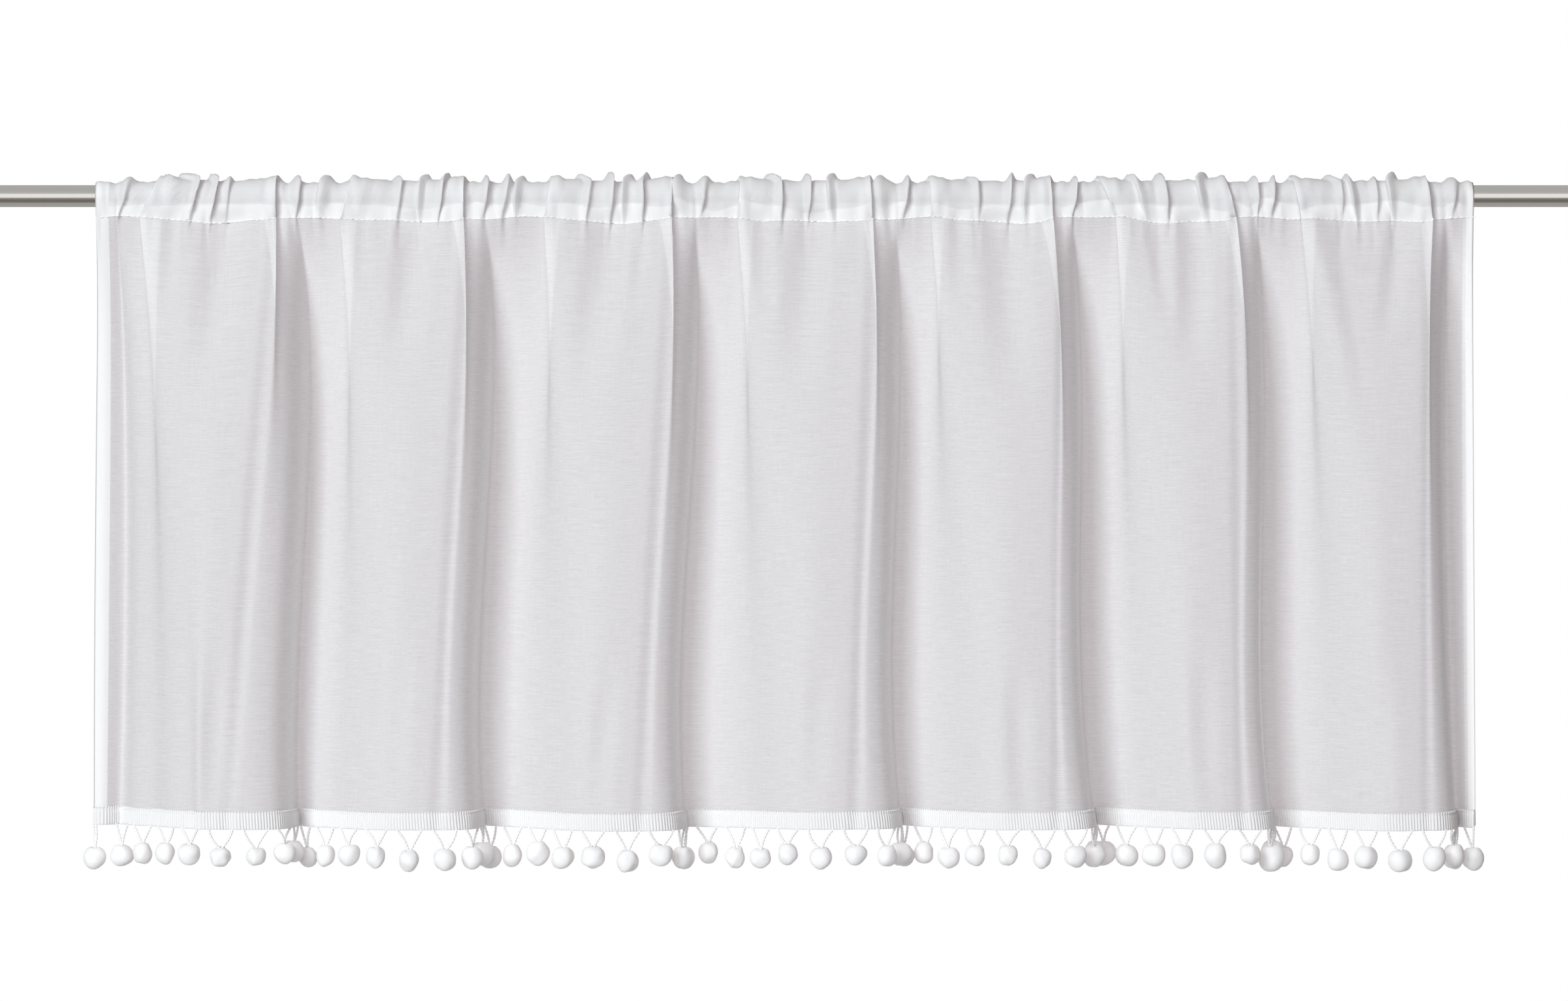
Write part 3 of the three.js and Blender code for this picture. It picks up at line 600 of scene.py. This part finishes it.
def cloth_rows():
    """Levels of the cloth strip and how far each lies behind the face, from the raw lower edge, round the hem
    fold, up the panel, round the pocket and under it to the raw upper edge."""
    quarter = np.pi / 2
    turned_up = HEM_DROP - LOWER_TURNING
    drops = HEM_DROP * (1 - np.linspace(0, 1, PANEL_ROWS)) ** ROW_CROWDING
    front = np.linspace(0, quarter, FRONT_ROWS)[1:]
    arc = np.linspace(quarter, 3 * quarter, ARC_ROWS)[1:]
    back = 4 * quarter - np.linspace(quarter, BACK_STOPS, BACK_ROWS)[1:]
    up_turning = np.linspace(TURNING_STARTS, 1, TURNED_IN_ROWS)
    turned_in = np.arccos(1 - POCKET_TURNING / SEAM_BELOW_ROD * up_turning)
    levels = joined_levels(
        panel_levels(turned_up), panel_levels(drops), pocket_levels(front), pocket_levels(arc),
        pocket_levels(back), pocket_levels(turned_in),
    )
    behind = np.concatenate([
        np.full(len(turned_up), PLY), np.zeros(len(drops) + len(front) + len(arc) + len(back)),
        np.full(len(turned_in), 1.5 * PLY),
    ])
    return levels, behind


def cloth_columns():
    """Places of the columns along the fold curve and how far each lies behind the face: the two turnings of
    the left hem, the face with more columns on its tucks, and the two turnings of the right hem."""
    plain = np.linspace(0, LAST_PLACE, LAST_PLACE * SAMPLES_PER_POINT + 1)
    tuck_middle = (TUCK_AT_SEAM + TUCK_AT_HEAD) / 2
    tuck_spread = TUCK_REACH + np.abs(TUCK_AT_SEAM - TUCK_AT_HEAD) / 2
    on_tucks = tuck_middle + tuck_spread * np.linspace(-1, 1, SAMPLES_PER_TUCK)[:, None]
    clear = np.all(np.abs(plain - tuck_middle[:, None]) > tuck_spread[:, None], axis=0)
    face = np.sort(np.concatenate([plain[clear], on_tucks.ravel()]))
    middle = panel_levels([MIDDLE_DROP])
    depth = np.interp(middle["drop"], DEPTH_DROPS, DEPTHS)
    lengths = curve_lengths(*fold_curve(middle, depth, DENSE_PLACES))[0]
    left = np.interp(SIDE_HEM, lengths, DENSE_PLACES)
    right = np.interp(lengths[-1] - SIDE_HEM, lengths, DENSE_PLACES)
    inner, outer = np.full(len(left), PLY), np.full(len(left), 2 * PLY)
    place = np.concatenate([left, left[::-1], face, right, right[::-1]])
    behind = np.concatenate([inner, outer, np.zeros(len(face)), outer, inner])
    flat = np.interp(face, DENSE_PLACES, lengths)
    turning = SIDE_HEM[-1]
    flat = np.concatenate([SIDE_HEM - 2 * turning, -SIDE_HEM[::-1], flat,
                           lengths[-1] + SIDE_HEM, lengths[-1] + 2 * turning - SIDE_HEM[::-1]])
    return place, behind, flat


def sheer_voile(seam, across):
    """A fine open weave: long thin slubs of the weft and fainter ones of the warp, laid on the cloth's flat
    coordinates, change how close the threads lie. What is between the threads is seen through, and light
    that falls on the far side glows through the yarn. The threads lie closer in the gathers above the seam,
    and closest where a turning lies behind, above the seam and along both sides. Turned cloth passes less
    light and has painted brightness: its colour is whiter, for the light that the plies of the turning
    reflect back."""
    material, add = finish_nodes("sheer_white_voile")
    flat = add("UVMap", uv_map="flat").outputs["UV"]

    def math(operation, *values):
        """What one operation makes of its values."""
        return add("Math", values, operation=operation).outputs["Value"]

    def slubs(scale, seed):
        """A noise that is stretched by its scales along and up the cloth."""
        place = add("Mapping", {"Vector": flat, "Scale": scale, "Location": (seed, seed, 0)})
        noise = add("TexNoise", {
            "Vector": place.outputs["Vector"], "Scale": 1, "Detail": 2, "Roughness": 0.6,
        }, noise_dimensions="2D")
        return noise.outputs["Fac"]

    weft = math("ADD", slubs((55, 1500, 1), 0), slubs((260, 3200, 1), 7))
    warp = slubs((2400, 45, 1), 3)
    weave = math("MULTIPLY_ADD", warp, 0.5, weft)
    closed = add("MapRange", {
        "Value": weave, "From Min": 0.75, "From Max": 1.75, "To Min": 0.68, "To Max": 0.88,
    }).outputs["Result"]
    along, up, _ = add("SeparateXYZ", [flat]).outputs

    def beyond(value, edge, soft):
        """0 before an edge, 1 past it, and a smooth step across it."""
        return add("MapRange", {
            "Value": value, "From Min": edge - soft, "From Max": edge + soft,
        }, interpolation_type="SMOOTHSTEP").outputs["Result"]

    gathered = beyond(up, seam, EDGE_SOFT)
    unevenness = add("TexNoise", {"W": along, "Scale": 22, "Detail": 1}, noise_dimensions="1D")
    raised = math("MULTIPLY_ADD", unevenness.outputs["Fac"], TURNING_UNEVEN, up)
    above_turning = beyond(raised, seam + POCKET_TURNING + TURNING_UNEVEN / 2, UNEVEN_SOFT)
    side_turning = SIDE_HEM[-1]
    inside_left = beyond(along, side_turning, EDGE_SOFT)
    beyond_right = beyond(along, across - side_turning, EDGE_SOFT)
    pocket = math("SUBTRACT", gathered, above_turning)
    sides = math("SUBTRACT", math("ADD", 1, beyond_right), inside_left)
    turned = math("MAXIMUM", pocket, sides)
    by_gathers = math("MULTIPLY", gathered, GATHER_CLOSES)
    closer = math("MAXIMUM", by_gathers, math("MULTIPLY", turned, TURNING_CLOSES))
    closed = math("MULTIPLY_ADD", math("SUBTRACT", 1, closed), closer, closed)
    through = math("MULTIPLY_ADD", turned, -TURNING_STOPS, GLOW_SHARE)
    yarn = two_tones(add, weave, (0.9, 0.895, 0.91, 1), (0.95, 0.95, 0.955, 1))
    # Painted brightness: the yarn's colour is whiter on turned cloth, for the light its extra plies reflect
    # back
    painted_whiter_turning = {"Factor": turned, "A": yarn, "B": (0.96, 0.96, 0.96, 1)}
    white = add("Mix", painted_whiter_turning, data_type="RGBA").outputs["Result"]
    bump = add("Bump", {"Height": weave, "Strength": 0.25, "Distance": 0.15 * MM}).outputs["Normal"]
    cloth = add("BsdfPrincipled", {
        "Base Color": white, "Roughness": 0.9, "Specular IOR Level": 0.2,
        "Sheen Weight": 0.15, "Sheen Roughness": 0.5, "Normal": bump,
    })
    glow = add("BsdfTranslucent", {"Color": white, "Normal": bump})
    thread = add("MixShader", [through, cloth.outputs["BSDF"], glow.outputs["BSDF"]])
    clear = add("BsdfTransparent")
    sheer = add("MixShader", [closed, clear.outputs["BSDF"], thread.outputs["Shader"]])
    add("OutputMaterial", {"Surface": sheer.outputs["Shader"]})
    return material


row_levels, row_behind = cloth_rows()
column_places, column_behind, column_flat = cloth_columns()
middle_surface, face_side = cloth_surface(row_levels, column_places)
behind = (row_behind[:, None] + column_behind)[..., None]
cloth_points = middle_surface - face_side * behind
strip_steps = np.linalg.norm(np.diff(cloth_points, axis=0), axis=-1).mean(axis=1)
row_flat = np.concatenate([[0], np.cumsum(strip_steps)])
cloth_flat = np.stack(np.broadcast_arrays(column_flat, row_flat[:, None]), axis=-1)
curtain = grid_piece("voile_curtain", cloth_points, uv=cloth_flat)
seam_row = len(LOWER_TURNING) + PANEL_ROWS - 1
curtain.data.materials.append(sheer_voile(row_flat[seam_row], FLAT_WIDTH))
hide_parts("curtain")
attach(curtain, "root")


# The stitching
# White sewing thread in straight lockstitch: a line along the foot of the pocket and one down each side hem.
# Each stitch is a short plump length of thread that the needle has pulled into the cloth at both ends.
STITCH_LENGTH = 3 * MM
STITCH_PITCH = 4 * MM
STITCH_WIDTH = 0.9 * MM
STITCH_RAISED = 0.3 * MM
STITCH_RINGS, STITCH_SIDES = 7, 6
SEAM_STITCHES_UP = 1.3 * MM
SIDE_STITCHES_IN = 9.4 * MM
# How far up and down the pocket the seam's direction is measured, in radians
SEAM_STEP = 0.01


def thread_stitches(centre, along, normal):
    """Spindles of thread, one at each centre: rings that swell as half a sine from end to end, across the
    stitch's direction, and lie half in the cloth."""
    across = np.cross(normal, along)
    share = np.linspace(0, 1, STITCH_RINGS)[:, None, None]
    angle = np.linspace(0, 2 * np.pi, STITCH_SIDES, endpoint=False)[:, None]
    radius = STITCH_WIDTH / 2 * np.sin(np.pi * share)
    spread = np.cos(angle) * across[:, None, None] + np.sin(angle) * normal[:, None, None]
    middle = centre + STITCH_RAISED * normal
    return middle[:, None, None] + (share - 0.5) * STITCH_LENGTH * along[:, None, None] + radius * spread


def along_seam():
    """Stitches a pitch apart along the front of the pocket, just above the seam."""
    turn = SEAM_STITCHES_UP / SEAM_BELOW_ROD
    levels = pocket_levels([turn - SEAM_STEP, turn, turn + SEAM_STEP])
    lengths = running_length(cloth_base(levels, DENSE_PLACES)[1])
    place = np.interp(np.arange(STITCH_PITCH, lengths[-1], STITCH_PITCH), lengths, DENSE_PLACES)
    points, normals = cloth_surface(levels, place)
    return points[1], unit(np.gradient(points[1], axis=0)), normals[1]


def down_sides():
    """Stitches a pitch apart down both side hems, near the hem's inner fold."""
    levels = panel_levels(np.arange(STITCH_PITCH, HEM_DROP - STITCH_PITCH, STITCH_PITCH))
    hem = np.interp([SIDE_STITCHES_IN, FLAT_WIDTH - SIDE_STITCHES_IN], column_flat, column_places)
    points, normals = cloth_surface(levels, hem)
    along = unit(np.gradient(points, axis=0))
    return points.reshape(-1, 3), along.reshape(-1, 3), normals.reshape(-1, 3)


def white_cotton(name, grain, height, white, softness):
    """Matt white cotton: a noise of the yarn's own size shades it a little and roughens its surface. Light
    scatters in it where it is soft."""
    material, add = finish_nodes(name)
    place = add("TexCoord").outputs["Object"]
    fibres = add("TexNoise", {
        "Vector": place, "Scale": 1 / grain, "Detail": 4, "Roughness": 0.65,
    }).outputs["Fac"]
    dark = (0.92 * white, 0.92 * white, 0.925 * white, 1)
    shade = two_tones(add, fibres, dark, (white, white, white, 1))
    bump = add("Bump", {"Height": fibres, "Strength": 0.5, "Distance": height}).outputs["Normal"]
    cotton = add("BsdfPrincipled", {
        "Base Color": shade, "Roughness": 1, "Specular IOR Level": 0.1,
        "Sheen Weight": 0.3, "Sheen Roughness": 0.6, "Normal": bump,
        "Subsurface Weight": 0.8 if softness else 0, "Subsurface Radius": (1, 1, 1),
        "Subsurface Scale": softness,
    })
    add("OutputMaterial", {"Surface": cotton.outputs["BSDF"]})
    return material


stitches = np.concatenate([thread_stitches(*along_seam()), thread_stitches(*down_sides())])
stitching = grid_piece("white_stitching", stitches, wrap=True, poles=True, flip=True)
stitching.data.materials.append(white_cotton("sewing_thread", 0.4 * MM, 0.1 * MM, 0.95, 0))
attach(stitching, "root")


# The braid
# A white cotton ribbon, woven with a thick rib across it every two millimetres and a small loop at the top of
# each rib. It is sewn over the turned-up lower edge and follows every fold.
BRAID_HEIGHT = 11.5 * MM
BRAID_BELOW_HEM = 1.6 * MM
BRAID_OFF_CLOTH = 0.8 * MM
BRAID_THICKNESS = 1.1 * MM
RIB_PITCH = 2 * MM
RIB_DEPTH = 0.6 * MM
LOOP_HEIGHT = 1.1 * MM
COLUMNS_PER_RIB = 6
# Share of the ribbon's height above which its edge is looped
LOOPS_FROM = 0.93
# Once round the ribbon's section: share of its height, share of its thickness, and how much of the rib shows
BRAID_SECTION = np.array([
    [0, 0, 0], [0, 0.5, 0.3], [0.03, 0.9, 0.8], [0.1, 1, 1], [0.3, 1, 1], [0.5, 1, 1], [0.7, 1, 1],
    [0.84, 0.9, 0.9], [0.88, 0.4, 0.3], [0.95, 0.9, 1], [1, 0.6, 0.5], [1, 0, 0], [0.5, 0, 0],
])


def hem_frames(flat):
    """Points on the hem at distances along the flat cloth: the point, up the cloth and to its face."""
    levels = panel_levels([HEM_DROP, HEM_DROP - BRAID_HEIGHT / 2, HEM_DROP - BRAID_HEIGHT])
    lengths = running_length(cloth_base(levels, DENSE_PLACES)[0])
    place = np.interp(flat * lengths[-1] / FLAT_WIDTH, lengths, DENSE_PLACES)
    points, normals = cloth_surface(levels, place)
    up = (points[2] - points[0]) / BRAID_HEIGHT
    return points[0], up, normals[1]


def braid_points():
    """The ribbon's section carried along the hem: each rib swells it to the front as a squared cosine, and
    raises its top edge as a loop."""
    count = int(FLAT_WIDTH / RIB_PITCH) * COLUMNS_PER_RIB
    flat = np.linspace(0, FLAT_WIDTH, count + 1)
    foot, up, face = hem_frames(flat)
    rib = np.cos(np.pi * flat / RIB_PITCH)[:, None] ** 2
    height, thick, ribbed = BRAID_SECTION.T
    rise = height * BRAID_HEIGHT - BRAID_BELOW_HEM + LOOP_HEIGHT * (height > LOOPS_FROM) * rib
    out = BRAID_OFF_CLOTH + thick * BRAID_THICKNESS - RIB_DEPTH * ribbed * (1 - rib)
    return foot[:, None] + rise[..., None] * up[:, None] + out[..., None] * face[:, None]


braid = grid_piece("ribbed_braid", braid_points(), wrap=True)
braid.data.materials.append(white_cotton("braid_cotton", 0.8 * MM, 0.12 * MM, 0.84, 0))
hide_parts("pompom_trim")
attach(braid, "root")


# The pompoms and their threads
# Round balls of cut cotton yarn, a little uneven, each drawn in at the top where two twisted threads hold it
# to the braid's lower edge. They hang in a row, and swing against each other where the hem folds.
POMPOM_COUNT = 60
POMPOM_RADIUS = 7.9 * MM
POMPOM_HEIGHT = 16.6 * MM
FIRST_POMPOM, LAST_POMPOM = 1 * MM, 1395 * MM
POMPOM_APART = 0.4 * MM
PUSH_ROUNDS = 200
THREAD_LENGTH = 14 * MM
# Most that a root lies aside of its pompom, as a share of the pitch, and the share of that which is used
THREAD_ROOTS, ROOTS_INSIDE = 0.4, 0.9
THREAD_RADIUS = 0.7 * MM
THREAD_TURNS = 7
# How much a thread bows aside, how far it goes into the pompom as a share of its height, and how far its
# plies stand out
THREAD_BOW = 0.9 * MM
THREAD_SINKS = 0.22
PLY_LOBES = 0.28
THREAD_RINGS, THREAD_SIDES = 28, 8
BALL_RINGS, BALL_SIDES = 22, 32
LUMPS, LUMP_SIZE, LUMP_WAVES = 7, 0.026, 2.4
DIP_DEPTH, DIP_REACH = 0.3, 0.3
# From the least to the most: the threads' lengths, and the balls' sizes, widths and heights
THREAD_LENGTHS, BALL_SIZES = (0.88, 1.1), (0.88, 1.05)
BALL_WIDTHS, BALL_HEIGHTS = (0.9, 1.05), (0.97, 1.12)
yarn_draws = np.random.default_rng(5)


def hung_pompoms():
    """Roots and tops of the pompoms: two roots on the braid about each place, closer at the braid's ends, and
    the top below their middle by what is left of the thread's length. Tops closer than a ball are moved apart
    round after round, each by a quarter of what is missing."""
    flat = np.linspace(FIRST_POMPOM, LAST_POMPOM, POMPOM_COUNT)
    reach = np.minimum(THREAD_ROOTS * (flat[1] - flat[0]), np.minimum(flat, FLAT_WIDTH - flat))
    ends = flat[:, None] + ROOTS_INSIDE * reach[:, None] * np.array([-1, 1])
    foot, up, face = hem_frames(ends.ravel())
    in_braid = (BRAID_OFF_CLOTH + BRAID_THICKNESS / 2) * face
    roots = (foot - 0.5 * BRAID_BELOW_HEM * up + in_braid).reshape(-1, 2, 3)
    tops = roots.mean(axis=1)
    apart = 2 * POMPOM_RADIUS + POMPOM_APART
    for _ in range(PUSH_ROUNDS):
        gap = tops[:, None, :2] - tops[None, :, :2]
        distance = np.linalg.norm(gap, axis=-1) + 10 * np.eye(POMPOM_COUNT)
        push = np.clip(apart - distance, 0, None) / distance / 4
        tops[:, :2] += (gap * push[..., None]).sum(axis=1)
    aside = ((roots[..., :2] - tops[:, None, :2]) ** 2).sum(axis=-1).mean(axis=1)
    length = THREAD_LENGTH * yarn_draws.uniform(*THREAD_LENGTHS, POMPOM_COUNT)
    fall = np.sqrt(np.maximum(length**2 - aside, (THREAD_LENGTH / 2) ** 2))
    tops[:, 2] = roots[..., 2].mean(axis=1) - fall
    return roots, tops


def ball_points(tops):
    """Balls by angle from the top and angle round: the radius swells and sinks by a sum of cosines across the
    ball, each with its own direction, and dips at the top where the threads go in."""
    polar = np.linspace(0, np.pi, BALL_RINGS)[:, None]
    turn = np.linspace(0, 2 * np.pi, BALL_SIDES, endpoint=False)
    ways = np.stack(np.broadcast_arrays(
        np.sin(polar) * np.cos(turn), np.sin(polar) * np.sin(turn), np.cos(polar),
    ), axis=-1)
    waves = yarn_draws.normal(0, LUMP_WAVES, (POMPOM_COUNT, LUMPS, 3))
    shifts = yarn_draws.uniform(0, 2 * np.pi, (POMPOM_COUNT, LUMPS))
    lumps = LUMP_SIZE * np.cos(np.einsum("klx,rsx->klrs", waves, ways) + shifts[..., None, None]).sum(axis=1)
    dip = DIP_DEPTH * np.exp(-((polar / DIP_REACH) ** 2))
    size = yarn_draws.uniform(*BALL_SIZES, (POMPOM_COUNT, 1, 1))
    radius = size * (1 + lumps) - dip
    stretch = np.stack(np.broadcast_arrays(
        yarn_draws.uniform(*BALL_WIDTHS, POMPOM_COUNT), 1, yarn_draws.uniform(*BALL_HEIGHTS, POMPOM_COUNT),
    ), axis=-1)
    centre = tops - np.array([0, 0, POMPOM_HEIGHT / 2])
    return centre[:, None, None] + POMPOM_RADIUS * radius[..., None] * ways * stretch[:, None, None]


def thread_points(roots, tops):
    """Two-ply threads from each root into its pompom: a tube along a bowed path, whose section has two lobes
    that turn about it on the way down."""
    start = roots.reshape(-1, 3)
    end = np.repeat(tops - np.array([0, 0, THREAD_SINKS * POMPOM_HEIGHT]), 2, axis=0)
    bow = yarn_draws.normal(0, THREAD_BOW, (len(start), 3)) * np.array([1, 1, 0.3])
    share = np.linspace(0, 1, THREAD_RINGS)[:, None]
    path = start[:, None] * (1 - share) + end[:, None] * share + bow[:, None] * np.sin(np.pi * share)
    along = unit(np.gradient(path, axis=1))
    side = unit(np.cross(along, np.array([0, 1, 0])))
    other = np.cross(along, side)
    angle = np.linspace(0, 2 * np.pi, THREAD_SIDES, endpoint=False)
    lobes = 1 + PLY_LOBES * np.cos(2 * (angle - THREAD_TURNS * 2 * np.pi * share / 2))
    spread = np.cos(angle)[:, None] * side[:, :, None] + np.sin(angle)[:, None] * other[:, :, None]
    return path[:, :, None] + THREAD_RADIUS * lobes[..., None] * spread


pompom_roots, pompom_tops = hung_pompoms()
pompoms = grid_piece("cotton_pompoms", ball_points(pompom_tops), wrap=True, poles=True, flip=True)
pompoms.data.materials.append(white_cotton("felted_pompom_cotton", 1.6 * MM, 0.35 * MM, 0.93, 4 * MM))
threads = grid_piece("pompom_threads", thread_points(pompom_roots, pompom_tops), wrap=True)
threads.data.materials.append(white_cotton("twisted_thread_cotton", 0.5 * MM, 0.1 * MM, 0.93, 0))
for piece in (pompoms, threads):
    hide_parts("pompom_trim")
    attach(piece, "root")


# The studio
# A pale floor well below the curtain, a large soft light from the left, another from the front, and a bright
# surround behind the cloth that glows through it. The camera looks level at the middle of the cloth.
FLOOR_BELOW_ROD = 1.1
FLOOR_RADIUS = 1.6
FLOOR_SIDES = 96
CAMERA_DISTANCE = 4
CAMERA_BELOW_ROD = 0.208
VIEW_WIDTH = 1.0716
SENSOR_WIDTH = 36
KEY_TURN, KEY_RISE = np.radians(-29), np.radians(16)
FRONT_RISE = np.radians(20)
# Painted shade: the dark mauve that the camera sees through the gaps of the cloth, as if a wall behind lay in
# its shadow
PAINTED_SHADE_THROUGH_CLOTH = (0.24, 0.2, 0.24, 1)
FILL_FRONT, FILL_BEHIND = (0.02, 0.02, 0.02, 1), (0.495, 0.45, 0.432, 1)
# Once round the rod from behind, under it and over it: where a stripe starts or ends, its light and its share
# of blue
STEEL_STRIPES = [
    (0.0, 0.52, 0.95), (0.28, 0.52, 0.95), (0.3, 0.2, 0.82), (0.43, 0.22, 0.82),
    (0.45, 1.28, 1), (0.55, 1.28, 1), (0.57, 0.6, 1), (1.0, 0.6, 1),
]


def pale_floor():
    """Matt pale paint with a faint mottle."""
    material, add = finish_nodes("pale_floor_paint")
    place = add("TexCoord").outputs["Object"]
    mottle = add("TexNoise", {"Vector": place, "Scale": 3, "Detail": 3}).outputs["Fac"]
    shade = two_tones(add, mottle, (0.87, 0.87, 0.87, 1), (0.92, 0.92, 0.92, 1))
    paint = add("BsdfPrincipled", {"Base Color": shade, "Roughness": 0.9})
    add("OutputMaterial", {"Surface": paint.outputs["BSDF"]})
    return material


def studio_surround():
    """What surrounds the object. As light it is dim in front, bright and a little warm behind, and a smooth
    step between. Steel mirrors it in stripes round the rod: light straight in front, dark and warm below that
    and grey elsewhere. The camera sees plain white past the object, and between the threads of the cloth a
    dark mauve backdrop, which is painted shade, as if a wall behind lay in the cloth's shadow."""
    world = bpy.data.worlds.new("studio_surround")
    world.use_nodes = True
    add = node_adder(world.node_tree)
    way = add("SeparateXYZ", [add("TexCoord").outputs["Generated"]]).outputs
    toward = add("Math", [way["Y"], -1], operation="MULTIPLY").outputs["Value"]
    angle = add("Math", [way["Z"], toward], operation="ARCTAN2").outputs["Value"]
    share = add("MapRange", {"Value": angle, "From Min": -np.pi, "From Max": np.pi}).outputs["Result"]
    stripes = add("ValToRGB", {"Fac": share})
    ramp = stripes.color_ramp.elements
    while len(ramp) < len(STEEL_STRIPES):
        ramp.new(0.5)
    for element, (position, light, blue) in zip(ramp, STEEL_STRIPES):
        element.position = position
        element.color = (light, light * (1 + blue) / 2, light * blue, 1)
    path = add("LightPath").outputs
    in_front = add("MapRange", {
        "Value": toward, "From Min": -0.4, "From Max": 0.4,
    }, interpolation_type="SMOOTHSTEP").outputs["Result"]

    def mixed(factor, first, second):
        """A colour between two, by a share."""
        colours = {"Factor": factor, "A": first, "B": second}
        return add("Mix", colours, data_type="RGBA").outputs["Result"]

    soft = mixed(in_front, FILL_BEHIND, FILL_FRONT)
    around = mixed(path["Is Glossy Ray"], soft, stripes.outputs["Color"])
    surround = add("Background", {"Color": around}).outputs["Background"]
    # Painted shade: the backdrop turns dark mauve where the camera looks through the cloth
    through = add("Math", [path["Transparent Depth"], 0.5], operation="GREATER_THAN").outputs["Value"]
    backdrop = mixed(through, (1, 1, 1, 1), PAINTED_SHADE_THROUGH_CLOTH)
    seen = add("Background", {"Color": backdrop}).outputs["Background"]
    mix = add("MixShader", [path["Is Camera Ray"], surround, seen])
    add("OutputWorld", {"Surface": mix.outputs["Shader"]})
    return world


ring = np.linspace(0, 2 * np.pi, FLOOR_SIDES, endpoint=False)
floor_rings = np.array([0, 0.5, 1])[:, None] * FLOOR_RADIUS
floor_points = np.stack(np.broadcast_arrays(
    ROD_MIDDLE + floor_rings * np.cos(ring), floor_rings * np.sin(ring), np.full((3, 1), -FLOOR_BELOW_ROD),
), axis=-1)
floor = grid_piece("studio_floor", floor_points, wrap=True, poles=True)
floor.data.materials.append(pale_floor())
floor.visible_glossy = False


def softbox(name, turn, rise, distance, size, power, colour):
    """A square area light that faces the middle of the cloth from a distance, turned to the right of the
    camera and raised by two angles. Steel doesn't mirror it."""
    light = bpy.data.lights.new(name, "AREA")
    light.size = size
    light.energy = power
    light.color = colour
    box = bpy.data.objects.new(name, light)
    box.location = (
        ROD_MIDDLE + distance * np.sin(turn) * np.cos(rise),
        -distance * np.cos(turn) * np.cos(rise),
        -CAMERA_BELOW_ROD + distance * np.sin(rise),
    )
    box.rotation_euler = (np.pi / 2 - rise, 0, turn)
    box.visible_glossy = False
    bpy.context.scene.collection.objects.link(box)


softbox("left_softbox", KEY_TURN, KEY_RISE, distance=7, size=3, power=370, colour=(0.92, 0.985, 1))
softbox("front_softbox", 0, FRONT_RISE, distance=7, size=3, power=178, colour=(1, 0.92, 0.945))

camera_lens = bpy.data.cameras.new("photo_camera")
camera_lens.sensor_width = SENSOR_WIDTH
camera_lens.lens = SENSOR_WIDTH * CAMERA_DISTANCE / VIEW_WIDTH
camera = bpy.data.objects.new("photo_camera", camera_lens)
camera.location = (ROD_MIDDLE, -CAMERA_DISTANCE, -CAMERA_BELOW_ROD)
camera.rotation_euler = (np.pi / 2, 0, 0)
bpy.context.scene.collection.objects.link(camera)
bpy.context.scene.camera = camera
bpy.context.scene.world = studio_surround()
bpy.context.scene.view_settings.view_transform = "Standard"
bpy.context.scene.cycles.transparent_max_bounces = 24
